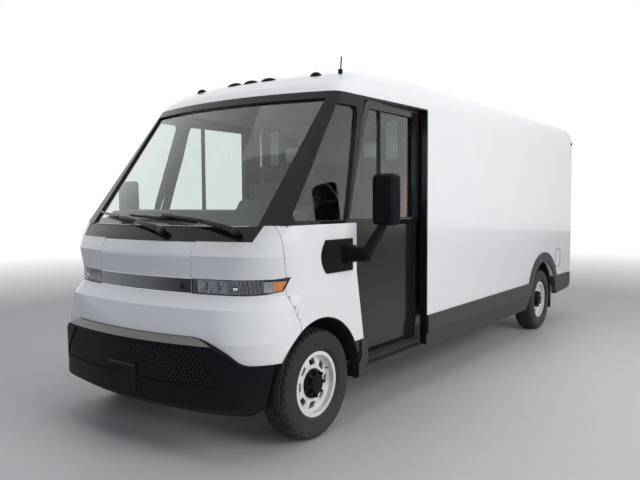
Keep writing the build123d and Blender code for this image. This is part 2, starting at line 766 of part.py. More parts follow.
# Lamps: x, place behind the front axle, half length; the three in the middle touch.
marker_places = ((-615.0, 541.0, 54.0), (-180.0, 498.0, 92.0), (0.0, 492.0, 92.0), (180.0, 498.0, 92.0),
                 (615.0, 541.0, 54.0))
marker_half_depth = 36.0
marker_dome = ((0.0, 1.0), (13.0, 0.86), (25.0, 0.62), (33.0, 0.3))
marker_lean = 22.0
marker_foot = eave_height + 0.64 * roof_rise
with BuildPart() as marker_lamps:
    for x, place, half in marker_places:
        normal = Vector(0, -sin(radians(marker_lean)), cos(radians(marker_lean)))
        for rise, share in marker_dome:
            middle = Vector(x, back(place), marker_foot) + normal * rise
            with BuildSketch(Plane(origin=middle, x_dir=(1, 0, 0), z_dir=normal)):
                Ellipse(half * share, marker_half_depth * share)
        loft(ruled=True)
    add(roof.part, mode=Mode.SUBTRACT)
marker_lamps.part.label = "marker_lamps"

antenna_x = 800.0
antenna_back = 600.0
antenna_top = roof_height + 38.0
with BuildPart() as antenna:
    foot = (antenna_x, back(antenna_back), roof_height - 100.0)
    add(rod(foot, (antenna_x, back(antenna_back), antenna_top - 96.0), 17.0))
    add(rod(foot, (antenna_x, back(antenna_back + 14.0), antenna_top), 5.0))
    add(roof.part, mode=Mode.SUBTRACT)
antenna.part.label = "antenna"

# ---- Cab upper frame, glass, cowl --------------------------------------
def upper_cab(z_low, z_high, inset=0.0):
    """Upper cab between two heights, leaning back and narrowing towards the roof."""
    with BuildPart() as mass:
        for z in (z_low, z_high):
            share = (z - belt_height) / (header_height - belt_height)
            front = windscreen_foot_back + (z - windscreen_base) * windscreen_slope
            add(plan_section(z, back(front), waist_half + (crown_half - waist_half) * share, cab_corner,
                             rear_half=half_width - crown_narrowing * share, rear=cab_rear, inset=inset))
        loft(ruled=True)
    return mass.part


def upper_shell(z_low, z_high, outer, inner):
    """The upper cab's wall between two insets."""
    with BuildPart() as wall:
        add(upper_cab(z_low, z_high, outer))
        add(upper_cab(z_low, z_high, inner), mode=Mode.SUBTRACT)
    return wall.part


def pillar_y(z):
    """Rear edge of the slanting pillar in front of the door."""
    share = (z - belt_height) / (door_way_top - belt_height)
    return back(pillar_foot_back + (pillar_top_back - pillar_foot_back) * share)


door_way_top = door_top + 22.0
glass_inset = 20.0
window_corner = 32.0
window_high = eave_height - 73.0
quarter_window = ((back(-300.0), belt_height + 24.0), (back(322.0), belt_height + 16.0),
                  (back(565.0), window_high), (back(330.0), window_high))
door_way = ((pillar_y(belt_height - 20.0), belt_height - 20.0),
            (cab_rear + 1.0, belt_height - 20.0), (cab_rear + 1.0, door_way_top),
            (pillar_y(door_way_top), door_way_top))
screen_top = header_height - 40.0
screen_zone = lengthwise(((-screen_half_low, screen_low), (screen_half_low, screen_low),
                          (screen_half_high, screen_top), (-screen_half_high, screen_top)),
                         back(-700.0), back(500.0))
post_width = 60.0
post_depth = 20.0
shell_top = eave_height + roof_seam_rise + 8.0
frame_cut = tuple((y, z - pin_gap) for y, z in seam_cut[1:3])

with BuildPart() as cab_frame:
    add(upper_shell(belt_height + pin_gap, shell_top, 0.0, frame_wall))
    add(slab(((back(-700.0), belt_height), (back(-700.0), frame_cut[0][1])) + frame_cut +
             ((cab_rear, belt_height),), -half_width - 1.0, half_width + 1.0), mode=Mode.INTERSECT)
    for side in (-1, 1):
        side_zone = sorted((side * 700.0, side * (half_width + 20.0)))
        add(slab(quarter_window, *side_zone, corner=window_corner), mode=Mode.SUBTRACT)
        add(slab(door_way, *side_zone), mode=Mode.SUBTRACT)
    add(screen_zone, mode=Mode.SUBTRACT)
    for side in (-1, 1):
        post_x = sorted((side * (half_width - post_width), side * half_width))
        add(block(post_x, (cab_rear - post_depth, cab_rear - pin_gap), (tread_top + pin_gap, door_way_top)))
cab_frame.part.label = "cab_frame"

with BuildPart() as windshield:
    add(upper_shell(screen_low - 5.0, header_height, glass_inset, glass_inset + glass))
    add(screen_zone, mode=Mode.INTERSECT)
windshield.part.label = "windshield"

with BuildPart() as quarter_windows:
    add(upper_shell(belt_height, header_height, glass_inset, glass_inset + glass))
    add(slab(quarter_window, -half_width, half_width, corner=window_corner), mode=Mode.INTERSECT)
    add(block((-750.0, 750.0), (back(-900.0), back(900.0)), (belt_height - 50.0, header_height + 50.0)),
        mode=Mode.SUBTRACT)
quarter_windows.part.label = "quarter_windows"

with BuildPart() as cowl_panel:
    add(upper_shell(hood_rear_line + pin_gap, belt_height, 0.0, frame_wall))
    cowl_low = hood_rear_half - 2.0
    cowl_high = hood_rear_half + hood_step - 2.0
    add(lengthwise(((-cowl_low, hood_rear_line), (cowl_low, hood_rear_line), (cowl_high, belt_height),
                    (screen_half_low + 1.0, belt_height), (screen_half_low + 1.0, screen_low - pin_gap),
                    (-screen_half_low - 1.0, screen_low - pin_gap), (-screen_half_low - 1.0, belt_height),
                    (-cowl_high, belt_height)), back(-700.0), back(-100.0)), mode=Mode.INTERSECT)
cowl_panel.part.label = "cowl_panel"

# ---- Nose: fascia, hood, fenders, bumper, lamps --------------------------------------
hood_step_half = hood_rear_half + hood_step
nose_side = half_width + 1.0
nose_zone = lengthwise(((-nose_side, 300.0), (nose_side, 300.0), (nose_side, belt_height),
                        (hood_step_half, belt_height), (hood_rear_half, hood_rear_line),
                        (-hood_rear_half, hood_rear_line), (-hood_step_half, belt_height),
                        (-nose_side, belt_height)), back(-900.0), nose_rear)
mask_seam = ((back(-375.0), belt_height), (back(-353.0), 1238.0), (back(-328.0), 1141.0),
             (back(-324.0), 1019.0), (back(-263.0), 866.0), (back(-228.0), 809.0), (back(-228.0), 500.0))
arch_cut = cylinder_across(front_axle, tyre_radius, arch_radius, -half_width - 50.0, half_width + 50.0)

with BuildPart() as nose_skin:
    add(loft_levels(nose_levels))
    add(loft_levels(nose_levels, skin), mode=Mode.SUBTRACT)
    add(nose_zone, mode=Mode.INTERSECT)
    add(arch_cut, mode=Mode.SUBTRACT)

lamp_low = 1013.0
lamp_high = 1110.0
lamp_wing = ((back(-500.0), lamp_low), (back(-431.0), lamp_low + 6.0), (back(-337.0), lamp_low + 24.0),
             (back(-288.0), lamp_high + 14.0), (back(-394.0), lamp_high + 3.0), (back(-560.0), lamp_high))
lamp_zone = ((back(-900.0), lamp_low),) + lamp_wing + ((back(-900.0), lamp_high),)
mask_zone = slab(((back(-900.0), belt_height + 10.0), (back(-375.0), belt_height + 10.0)) + mask_seam +
                 ((back(-900.0), 500.0),), -nose_side, nose_side)
lamp_slot = slab(lamp_zone, -nose_side, nose_side)


def under_bumper_edge(drop, y_low, y_high):
    """Everything below the bumper's upper edge: level in the middle, then down in an S."""
    with BuildPart() as zone:
        with BuildSketch(Plane.XZ.offset(-y_high)):
            with BuildLine():
                for side in (-1, 1):
                    Spline((side * ledge_half, ledge_line - drop),
                           (side * (half_width - 348.0), 728.0 - drop),
                           (side * (half_width - 217.0), 651.0 - drop),
                           (side * bumper_corner_x, bumper_line - drop),
                           tangents=((side, 0), (side, 0)))
                Line((-ledge_half, ledge_line - drop), (ledge_half, ledge_line - drop))
                Polyline((bumper_corner_x, bumper_line - drop), (nose_side + 20.0, bumper_line - drop),
                         (nose_side + 20.0, 200.0), (-nose_side - 20.0, 200.0),
                         (-nose_side - 20.0, bumper_line - drop), (-bumper_corner_x, bumper_line - drop))
            make_face()
        extrude(amount=y_high - y_low)
    return zone.part


with BuildPart() as nose_fascia:
    add(nose_skin.part)
    add(mask_zone, mode=Mode.INTERSECT)
    add(under_bumper_edge(0.0, back(-900.0), back(-100.0)), mode=Mode.SUBTRACT)
    add(lamp_slot, mode=Mode.SUBTRACT)
    add(block((-nose_side, nose_side), (back(-900.0), back(-100.0)), (lamp_high - 20.0, belt_height + 20.0)),
        mode=Mode.SUBTRACT)
nose_fascia.part.label = "nose_fascia"

with BuildPart() as hood_corners:
    add(nose_skin.part)
    add(mask_zone, mode=Mode.INTERSECT)
    add(lamp_slot, mode=Mode.SUBTRACT)
    add(block((nose_seam_x, nose_side), (back(-900.0), back(-100.0)), (lamp_high - 3.0, belt_height + 20.0)),
        mode=Mode.INTERSECT)
    mirror(about=Plane.YZ)
hood_corners.part.label = "hood_corners"

with BuildPart() as hood_panel:
    add(nose_skin.part)
    add(block((seam - nose_seam_x, nose_seam_x - seam), (back(-900.0), back(-330.0)),
              (lamp_high, belt_height)), mode=Mode.INTERSECT)
hood_panel.part.label = "hood_panel"

with BuildPart() as front_fenders:
    add(nose_skin.part)
    fender_seam = tuple((y + seam, z) for y, z in mask_seam)
    add(slab(((back(-375.0) + seam, belt_height + 10.0),) + fender_seam[:-1] +
             ((back(-228.0) + seam, side_bottom - 24.0), (back(fender_foot_back), side_bottom - 24.0),
              (back(fender_rear_back), 1100.0), (back(fender_rear_back), belt_height + 10.0)),
             -nose_side, nose_side), mode=Mode.INTERSECT)
    add(lamp_slot, mode=Mode.SUBTRACT)
front_fenders.part.label = "front_fenders"

panel_recess = 8.0
with BuildPart() as panel_skin:
    add(loft_levels(bumper_levels))
    add(loft_levels(bumper_levels, panel_recess), mode=Mode.SUBTRACT)
    add(lengthwise(((-616.0, 702.0), (616.0, 702.0), (799.0, 495.0), (772.0, 468.0), (-772.0, 468.0),
                    (-799.0, 495.0)), back(-900.0), back(-500.0)), mode=Mode.INTERSECT)
with BuildPart() as front_bumper:
    add(loft_levels(bumper_levels))
    add(loft_levels(bumper_levels, bumper_wall), mode=Mode.SUBTRACT)
    add(slab(((back(-900.0), 200.0), (back(-900.0), ledge_line + 10.0), (back(-442.0), ledge_line + 10.0),
              (back(-442.0), bumper_line), (back(-523.0), 283.0), (back(-523.0), 200.0)),
             -nose_side, nose_side), mode=Mode.INTERSECT)
    add(under_bumper_edge(2.0, back(-900.0), back(-100.0)), mode=Mode.INTERSECT)
    add(panel_skin.part, mode=Mode.SUBTRACT)
    add(arch_cut, mode=Mode.SUBTRACT)
front_bumper.part.label = "front_bumper"

lamp_recess = 2.0
with BuildPart() as headlamps:
    add(loft_levels(nose_levels, lamp_recess))
    add(loft_levels(nose_levels, 90.0), mode=Mode.SUBTRACT)
    add(slab(lamp_zone, nose_seam_x + seam, half_width, shrink=1.0), mode=Mode.INTERSECT)
    mirror(about=Plane.YZ)
headlamps.part.label = "headlamps"

with BuildPart() as light_bar:
    add(loft_levels(nose_levels, lamp_recess))
    add(loft_levels(nose_levels, 40.0), mode=Mode.SUBTRACT)
    add(block((-nose_seam_x, nose_seam_x), (back(-900.0), back(-335.0)),
              (lamp_low + pin_gap, lamp_high - pin_gap)), mode=Mode.INTERSECT)
light_bar.part.label = "light_bar"

# ---- Wheel liners --------------------------------------
liner_outer = arch_radius - pin_gap
with BuildPart() as wheel_liners:
    with BuildSketch(Plane.YZ.offset(wheel_bay + 6.0)):
        with Locations((front_axle, tyre_radius)):
            Circle(liner_outer)
            Circle(liner_outer - liner_wall, mode=Mode.SUBTRACT)
        with Locations((front_axle, tyre_radius - 350.0)):
            Rectangle(1200.0, 600.0, mode=Mode.SUBTRACT)
    extrude(amount=half_width - wheel_bay - 8.0)
    mirror(about=Plane.YZ)
wheel_liners.part.label = "wheel_liners"

# ---- Rockers with steps and rear arch flares --------------------------------------
rocker_out = half_width + 15.0
rocker_in = box_inner
rocker_top = side_bottom - 2.0
rocker_crease = 490.0
rocker_foot = 300.0
rocker_foot_x = half_width - 52.0
skirt = 24.0
tread_plate = 28.0


def rocker_x(z):
    """Outer face of the rocker below its crease, where it tucks in."""
    return rocker_foot_x + (rocker_out - rocker_foot_x) * (z - rocker_foot) / (rocker_crease - rocker_foot)


step_in = door_outer_x + moving_gap
kick_front = back(fender_foot_back - 50.0)
kick_rear = back(fender_foot_back + 85.0)
kick_top = side_bottom - 30.0
with BuildPart() as kick:
    add(lengthwise(((rocker_out - skirt, kick_top), (rocker_out, kick_top), (rocker_out, rocker_crease),
                    (rocker_foot_x, rocker_foot), (rocker_foot_x - skirt, rocker_foot),
                    (rocker_out - skirt, rocker_crease)), kick_front, kick_rear))
    add(slab(((kick_front, kick_top), (back(fender_foot_back), kick_top), (kick_rear, tread_top),
              (kick_rear, rocker_foot), (kick_front + 20.0, rocker_foot)),
             step_in, rocker_out + 1.0), mode=Mode.INTERSECT)

with BuildPart() as rockers:
    sill_end = rear_axle - rear_arch_radius + 60.0
    add(lengthwise(((rocker_in, rocker_top), (rocker_out, rocker_top), (rocker_out, rocker_crease),
                    (rocker_foot_x, rocker_foot), (rocker_foot_x - skirt, rocker_foot),
                    (rocker_in, rocker_crease)), cab_rear, sill_end))
    tail_front = rear_axle + rear_arch_radius - 60.0
    add(slab(((tail_front, rocker_top), (roof_end, rocker_top), (roof_end, 470.0),
              (roof_end - 60.0, 420.0), (tail_front, 390.0)), rocker_in, rocker_out))
    with BuildSketch(Plane.YZ.offset(half_width)):
        with Locations((rear_axle, tyre_radius)):
            Circle(flare_radius)
        with Locations((rear_axle, rocker_top - flare_radius)):
            Rectangle(2.4 * flare_radius, 2 * flare_radius, mode=Mode.SUBTRACT)
    extrude(amount=rocker_out - half_width)
    add(cylinder_across(rear_axle, tyre_radius, rear_arch_radius, rocker_in - 40.0, rocker_out + 1.0),
        mode=Mode.SUBTRACT)
    add(lengthwise(((step_in, tread_top), (rocker_x(tread_top), tread_top), (rocker_foot_x, rocker_foot),
                    (rocker_foot_x - skirt, rocker_foot),
                    (rocker_x(tread_top) - skirt, tread_top - tread_plate),
                    (step_in, tread_top - tread_plate)), kick_rear - 20.0, cab_rear))
    add(kick.part)
    add(cylinder_across(front_axle, tyre_radius, arch_radius + 4.0, rocker_in, rocker_out + 1.0),
        mode=Mode.SUBTRACT)
    mirror(about=Plane.YZ)
rockers.part.label = "rockers"

# ---- Doors and their glass --------------------------------------
door_inner_x = door_outer_x - door_thickness
sash_inner_x = door_sash_x - door_thickness
sash_low = belt_height + 4.0
sash_step = 40.0
mullion_back = 875.0
mullion_width = 14.0
door_window_front = 70.0
door_window_rear = door_rear_back - 60.0
door_section = lengthwise(((door_outer_x - door_tuck, door_bottom), (door_outer_x, door_crease),
                           (door_outer_x, sash_low - sash_step), (door_sash_x, sash_low),
                           (door_sash_x, door_top), (sash_inner_x, door_top), (sash_inner_x, sash_low + 14.0),
                           (door_inner_x, sash_low - sash_step + 14.0), (door_inner_x, door_bottom)),
                          back(pillar_foot_back), back(door_rear_back + 10.0))
door_outline = ((back(door_front_back), 720.0), (back(door_front_back), door_bottom),
                (back(door_rear_back), door_bottom), (back(door_rear_back), door_top),
                (pillar_y(door_top) + moving_gap, door_top),
                (pillar_y(belt_height) + moving_gap, belt_height))
door_window_low = belt_height + 16.0
door_window = ((pillar_y(door_window_low) + door_window_front, door_window_low),
               (back(door_window_rear), door_window_low), (back(door_window_rear), window_high),
               (pillar_y(window_high) + door_window_front, window_high))
mullion = block((sash_inner_x, door_sash_x),
                (back(mullion_back - mullion_width / 2), back(mullion_back + mullion_width / 2)),
                (door_window_low - 4.0, window_high + 4.0))


def door(side):
    """Sliding door: a stepped leaf, proud above the belt, with its window cut and divided."""
    with BuildPart() as leaf:
        add(door_section)
        add(slab(door_outline, door_inner_x, door_sash_x), mode=Mode.INTERSECT)
        add(slab(door_window, door_inner_x, door_sash_x, corner=45.0), mode=Mode.SUBTRACT)
        add(mullion)
        if side < 0:
            mirror(about=Plane.YZ, mode=Mode.REPLACE)
    return leaf


def door_glass(side):
    """The panes, let into the middle of the sash on both sides of its divider."""
    pane_x = sash_inner_x + (door_thickness - glass) / 2
    with BuildPart() as pane:
        add(slab(door_window, pane_x, pane_x + glass, corner=45.0))
        add(mullion, mode=Mode.SUBTRACT)
        if side < 0:
            mirror(about=Plane.YZ, mode=Mode.REPLACE)
    return pane


doors = []
for name, side in (("left", 1), ("right", -1)):
    for kind, made in (("door", door(side)), ("door_glass", door_glass(side))):
        made.part.label = f"{kind}_{name}"
        doors.append(made)

# ---- Rear --------------------------------------
portal_half = half_width - 200.0
portal_top = eave_height - 103.0
skirt_low = side_bottom - 60.0
slat_count = 7
slat_groove = 8.0
shutter_wall = 28.0
shutter_set = 10.0
with BuildPart() as rear_frame:
    add(block((-half_width, half_width), (roof_end, box_end), (skirt_low, eave_height)))
    add(roof_mass(box_end))
    add(block((-half_width, half_width), (back(0.0), roof_end), (skirt_low, roof_height + 10.0)),
        mode=Mode.SUBTRACT)
    add(block((-half_width, half_width), (back(0.0), box_end), (0.0, skirt_low)), mode=Mode.SUBTRACT)
    add(block((-portal_half, portal_half), (roof_end - 1.0, box_end + 1.0), (floor_top, portal_top)),
        mode=Mode.SUBTRACT)
rear_frame.part.label = "rear_frame"

with BuildPart() as rear_door:
    door_y = roof_end + shutter_set
    leaf_low = floor_top + 2.0
    leaf_high = portal_top - 2.0
    add(block((pin_gap - portal_half, portal_half - pin_gap), (door_y, door_y + shutter_wall),
              (leaf_low, leaf_high)))
    slat = (leaf_high - leaf_low) / slat_count
    for row in range(1, slat_count):
        groove_z = leaf_low + row * slat
        add(block((1.0 - portal_half, portal_half - 1.0),
                  (door_y + shutter_wall - 4.0, door_y + shutter_wall + 1.0),
                  (groove_z - slat_groove / 2, groove_z + slat_groove / 2)), mode=Mode.SUBTRACT)
    add(block((-110.0, 110.0), (door_y + shutter_wall, door_y + shutter_wall + 18.0),
              (leaf_low + 60.0, leaf_low + 86.0)))
    add(block((-70.0, 70.0), (door_y + shutter_wall, door_y + shutter_wall + 10.0),
              (leaf_low + 110.0, leaf_low + 170.0)))
rear_door.part.label = "rear_door"

bumper_low = 430.0
bumper_half = half_width - 160.0
with BuildPart() as rear_bumper:
    add(block((-bumper_half, bumper_half), (roof_end, box_end + bumper_depth), (bumper_low, skirt_low - 4.0)))
    add(block((-bumper_half, bumper_half), (roof_end, box_end), (bumper_low, skirt_low)))
    add(block((-bumper_half + 60.0, bumper_half - 60.0), (box_end - 8.0, box_end + bumper_depth + 1.0),
              (bumper_low + 34.0, skirt_low - 34.0)), mode=Mode.SUBTRACT)
rear_bumper.part.label = "rear_bumper"

with BuildPart() as tail_lamps:
    with BuildSketch(Plane.XZ.offset(-box_end)):
        with Locations((half_width - 100.0, 1150.0)):
            RectangleRounded(90.0, 420.0, 30.0)
        with Locations((half_width - 100.0, portal_top + 40.0)):
            RectangleRounded(90.0, 40.0, 14.0)
    extrude(amount=-9.0)
    mirror(about=Plane.YZ)
tail_lamps.part.label = "tail_lamps"

# ---- Mirrors --------------------------------------
mirror_plate = 14.0
mirror_plate_low = 1116.0
mirror_plate_high = 1340.0
mirror_plate_rear = back(350.0)
mirror_socket = 46.0
mirror_root = (half_width + mirror_plate - 1.0, back(280.0), 1236.0)
mirror_elbow = (half_width + 176.0, back(294.0), 1233.0)
mirror_bend = (half_width + 152.0, back(290.0), 1222.0)
mirror_neck = (half_width + 219.0, back(440.0), 1452.0)
mirror_low = 1428.0
mirror_high = 1790.0
mirror_inner = half_width + 126.0
mirror_outer = half_width + 311.0
mirror_front = back(400.0)
mirror_depth = 92.0
mirror_rim = 12.0
far_mirror_forward = 200.0


def side_mirror(forward):
    """Left mirror with its plate, socket, cranked arm and head, which may sit further forward."""
    root_x, root_y, root_z = mirror_root
    neck_x, neck_y, neck_z = mirror_neck
    head_front = mirror_front - forward
    middle = ((mirror_inner + mirror_outer) / 2, (mirror_low + mirror_high) / 2)
    head = (mirror_outer - mirror_inner, mirror_high - mirror_low)
    with BuildPart() as made:
        with BuildSketch(Plane.YZ.offset(half_width)):
            with BuildLine():
                Spline((back(40.0), mirror_plate_high), (back(-9.0), root_z - 6.0),
                       (back(48.0), mirror_plate_low))
                Polyline((back(48.0), mirror_plate_low), (mirror_plate_rear, mirror_plate_low),
                         (mirror_plate_rear, mirror_plate_high), (back(40.0), mirror_plate_high))
            make_face()
        extrude(amount=mirror_plate)
        add(tapered_bar(mirror_root, (root_x + mirror_socket, root_y, root_z), (124.0, 132.0), (104.0, 118.0),
                        18.0))
        add(tapered_bar(mirror_root, mirror_elbow, (88.0, 108.0), (70.0, 96.0), 24.0))
        add(tapered_bar(mirror_bend, (neck_x, neck_y - forward, neck_z), (74.0, 66.0), (58.0, 46.0), 20.0))
        for place, shrink, corner in ((head_front, 22.0, 30.0), (head_front + 22.0, 4.0, 40.0),
                                      (head_front + mirror_depth, 0.0, 44.0)):
            with BuildSketch(Plane.XZ.offset(-place)):
                with Locations(middle):
                    RectangleRounded(head[0] - 2 * shrink, head[1] - 2 * shrink, corner)
        loft(ruled=True)
        with BuildSketch(Plane.XZ.offset(-head_front - mirror_depth)):
            with Locations(middle):
                RectangleRounded(head[0] - 2 * mirror_rim, head[1] - 2 * mirror_rim, 36.0)
        extrude(amount=5.0, mode=Mode.SUBTRACT)
    return made.part


with BuildPart() as mirrors:
    add(side_mirror(0.0))
    add(side_mirror(far_mirror_forward).mirror(Plane.YZ))
mirrors.part.label = "mirrors"

# ---- Cab inside: dashboard, steering wheel, seats --------------------------------------
wheel_tilt = 64.0
steer_x = 600.0
steer_back = 560.0
steer_height = 1588.0
steer_radius = 205.0
grip = 15.0
hub_depth = 22.0
column_axis = Vector(0, cos(radians(90.0 - wheel_tilt)), sin(radians(90.0 - wheel_tilt)))
steer_centre = Vector(steer_x, back(steer_back), steer_height)
dash_half = 900.0
dash_rear = 110.0
dash_rise = 95.0
dash_top = belt_height + dash_rise
column_radius = 38.0
column_length = 560.0
cluster_width = 250.0
cluster_height = 96.0
cluster_back = -60.0
hood_height = 84.0
with BuildPart() as dashboard:
    add(slab(((back(-330.0), dash_top - 160.0), (back(-190.0), dash_top - 12.0), (back(-40.0), dash_top),
              (back(dash_rear - 50.0), dash_top - 42.0), (back(dash_rear), dash_top - 165.0),
              (back(60.0), 1190.0),
              (back(20.0), 1000.0), (back(-250.0), 960.0), (back(-330.0), 1100.0)), -dash_half, dash_half))
    add(slab(((back(-165.0), dash_top - 16.0), (back(-110.0), dash_top + hood_height - 24.0),
              (back(-30.0), dash_top + hood_height), (back(35.0), dash_top + hood_height - 20.0),
              (back(50.0), dash_top - 46.0)), steer_x - 170.0, steer_x + 170.0))
    add(block((steer_x - cluster_width / 2, steer_x + cluster_width / 2),
              (back(cluster_back), back(cluster_back + 30.0)),
              (dash_top + hood_height - 20.0, dash_top + hood_height + cluster_height)))
    beam_half = half_width - skin - pin_gap
    add(block((-beam_half, beam_half), (back(-60.0), back(0.0)), (1030.0, 1110.0)))
    add(rod(steer_centre - column_length * column_axis, steer_centre - (hub_depth + pin_gap) * column_axis,
            column_radius))
dashboard.part.label = "dashboard"

with BuildPart() as steering_wheel:
    hub_plane = Plane(origin=steer_centre, x_dir=(1, 0, 0), z_dir=column_axis)
    with BuildSketch(Plane(origin=hub_plane.origin, x_dir=(1, 0, 0), z_dir=hub_plane.y_dir)) as grip_round:
        with Locations((steer_radius, 0)):
            Circle(grip)
    revolve(axis=Axis(hub_plane.origin, column_axis))
    with BuildSketch(hub_plane.offset(-hub_depth)):
        Circle(62.0)
        Rectangle(2 * steer_radius, 44.0)
        with Locations((0, -steer_radius / 2)):
            Rectangle(44.0, steer_radius)
    extrude(amount=30.0)
steering_wheel.part.label = "steering_wheel"

seat_width = 480.0
seat_low = 1100.0
cushion = 130.0
back_rest_top = seat_low + 680.0
head_rest_top = seat_low + 870.0
driver_seat_back = 870.0
far_seat_back = 900.0
with BuildPart() as seats:
    for x, place in ((steer_x, driver_seat_back), (-steer_x, far_seat_back)):
        left = x - seat_width / 2
        right = x + seat_width / 2
        add(block((x - 150.0, x + 150.0), (back(place), back(place + 380.0)), (floor_top, seat_low)))
        add(slab(((back(place - 60.0), seat_low), (back(place + 440.0), seat_low),
                  (back(place + 440.0), seat_low + cushion - 30.0), (back(place - 40.0), seat_low + cushion),
                  (back(place - 60.0), seat_low + cushion - 20.0)), left, right))
        add(slab(((back(place + 340.0), seat_low + 60.0), (back(place + 440.0), seat_low + 20.0),
                  (back(place + 540.0), back_rest_top - 40.0), (back(place + 510.0), back_rest_top),
                  (back(place + 450.0), back_rest_top - 10.0)), left + 15.0, right - 15.0))
        add(slab(((back(place + 480.0), back_rest_top - 30.0), (back(place + 530.0), back_rest_top - 30.0),
                  (back(place + 550.0), head_rest_top), (back(place + 460.0), head_rest_top),
                  (back(place + 452.0), head_rest_top - 140.0)), x - 130.0, x + 130.0))
seats.part.label = "seats"

# ---- Wipers --------------------------------------
def on_screen(x, z, lift):
    """A place this far out from the windscreen, square to it."""
    lean = sqrt(1 + windscreen_slope**2)
    y = back(windscreen_foot_back) + (z - windscreen_base) * windscreen_slope + bow_sag(x)
    return (x, y - lift / lean, z + lift * windscreen_slope / lean)


# Each wiper: its pivot, then the places the arm and the blade pass through, as (x, height).
wiper_runs = (
    ((754.0, 41.0), (503.0, 95.0), (470.0, 106.0), (143.0, 136.0), (-288.0, 146.0)),
    ((174.0, 39.0), (-129.0, 93.0), (-170.0, 104.0), (-454.0, 133.0), (-808.0, 166.0)),
)
arm_radius = 9.0
blade_radius = 7.0
blade_lift = 32.0
with BuildPart() as wipers:
    for run in wiper_runs:
        places = [(x, windscreen_base + rise) for x, rise in run]
        pivot = places[0]
        add(rod(on_screen(*pivot, 1.0), on_screen(*pivot, blade_lift + 8.0), 19.0))
        radii = (arm_radius, arm_radius, blade_radius, blade_radius)
        for start, end, radius in zip(places, places[1:], radii):
            add(rod(on_screen(*start, blade_lift), on_screen(*end, blade_lift), radius))
            with Locations(on_screen(*end, blade_lift)):
                Sphere(radius)
    add(cowl_panel.part, mode=Mode.SUBTRACT)
wipers.part.label = "wipers"

parts = [
    frame_rails, battery_pack, front_suspension, drive_unit, rear_suspension,
    knuckle_left, knuckle_right, floor_pan, cargo_side_left, cargo_side_right, charge_port_door,
    door_pockets, bulkhead, roof, marker_lamps, antenna, cab_frame, windshield, quarter_windows, nose_fascia,
    hood_corners, hood_panel, front_fenders, front_bumper, headlamps, light_bar, cowl_panel, wheel_liners,
    rockers,
    rear_frame, rear_door, rear_bumper, tail_lamps, mirrors, dashboard, steering_wheel, seats, wipers,
]

os.makedirs("parts", exist_ok=True)
for made in parts + wheels + doors:
    export_step(made.part, f"parts/{made.part.label}.step")
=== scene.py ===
import logging
import math
from dataclasses import dataclass
from enum import Enum
from typing import Callable, Iterable, Optional, Sequence

import bpy
from mathutils import Matrix, Vector
from mathutils.bvhtree import BVHTree


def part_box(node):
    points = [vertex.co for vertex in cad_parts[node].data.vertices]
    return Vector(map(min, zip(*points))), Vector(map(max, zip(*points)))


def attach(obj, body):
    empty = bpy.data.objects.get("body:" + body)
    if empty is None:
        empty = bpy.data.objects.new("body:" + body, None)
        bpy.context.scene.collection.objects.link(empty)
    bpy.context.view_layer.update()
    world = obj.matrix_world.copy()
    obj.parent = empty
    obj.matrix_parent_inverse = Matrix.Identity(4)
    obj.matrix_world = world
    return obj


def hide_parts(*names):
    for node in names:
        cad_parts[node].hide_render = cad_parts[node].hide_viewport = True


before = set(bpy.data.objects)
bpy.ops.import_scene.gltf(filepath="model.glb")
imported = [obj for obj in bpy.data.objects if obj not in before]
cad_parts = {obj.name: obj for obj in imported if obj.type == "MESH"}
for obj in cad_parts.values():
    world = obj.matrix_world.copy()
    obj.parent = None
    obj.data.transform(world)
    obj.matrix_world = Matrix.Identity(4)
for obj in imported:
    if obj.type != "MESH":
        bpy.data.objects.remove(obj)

LOG = logging.getLogger("van")
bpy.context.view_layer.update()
Piece = bpy.types.Object
Tree = bpy.types.NodeTree
Socket = bpy.types.NodeSocket
Colour = tuple[float, float, float]
Point = tuple[float, float, float]
Pair = tuple[float, float]
FaceTest = Callable[[Vector, Vector], bool]
WHITE = (1.0, 1.0, 1.0, 1.0)
AXIS_X, AXIS_Y, AXIS_Z = (1, 0, 0), (0, 1, 0), (0, 0, 1)
OUTSIDE = 5.0  # metres from the van's middle, where rays start
WELD = 2e-5  # metres, under which places of the frame's meshes are one
SHARP_EDGE = 0.6  # radians, over which an edge of a new piece is rounded
STRAIGHT = 0.004  # radians, under which a rim runs straight on
SHORT = 1e-4  # metres, under which a step along a rim is left out


# ---- Places taken from the frame ---------------------------------------------------------------
class Layout:
    """Places on the van, read from the frame's boxes, in metres."""

    def __init__(self) -> None:
        """Read the boxes that the other classes measure from."""
        low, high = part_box("tyre_front_left")
        self.tyre_radius = (high.z - low.z) / 2
        self.front_axle = (low.y + high.y) / 2
        self.wheel_x = (low.x + high.x) / 2
        low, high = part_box("tyre_rear_left")
        self.rear_axle = (low.y + high.y) / 2

    def back(self, distance: float) -> float:
        """Y of a place this far, in millimetres, behind the front axle."""
        return self.front_axle + distance / 1000.0

    def at(self, x: float, distance: float, z: float) -> Point:
        """A place whose Y is given in millimetres behind the front axle."""
        return x, self.back(distance), z


PLACE = Layout()


# ---- Node groups and finishes ------------------------------------------------------------------
class Pattern(Enum):
    """The small-scale structure that a finish shows."""

    RIPPLE = "ripple"
    GRAIN = "grain"
    STREAKS = "streaks"
    WEAVE = "weave"
    CAST = "cast"
    RUBBER = "rubber"
    # Tone spread across X: a painted highlight, not a small-scale structure.
    FADE = "fade"


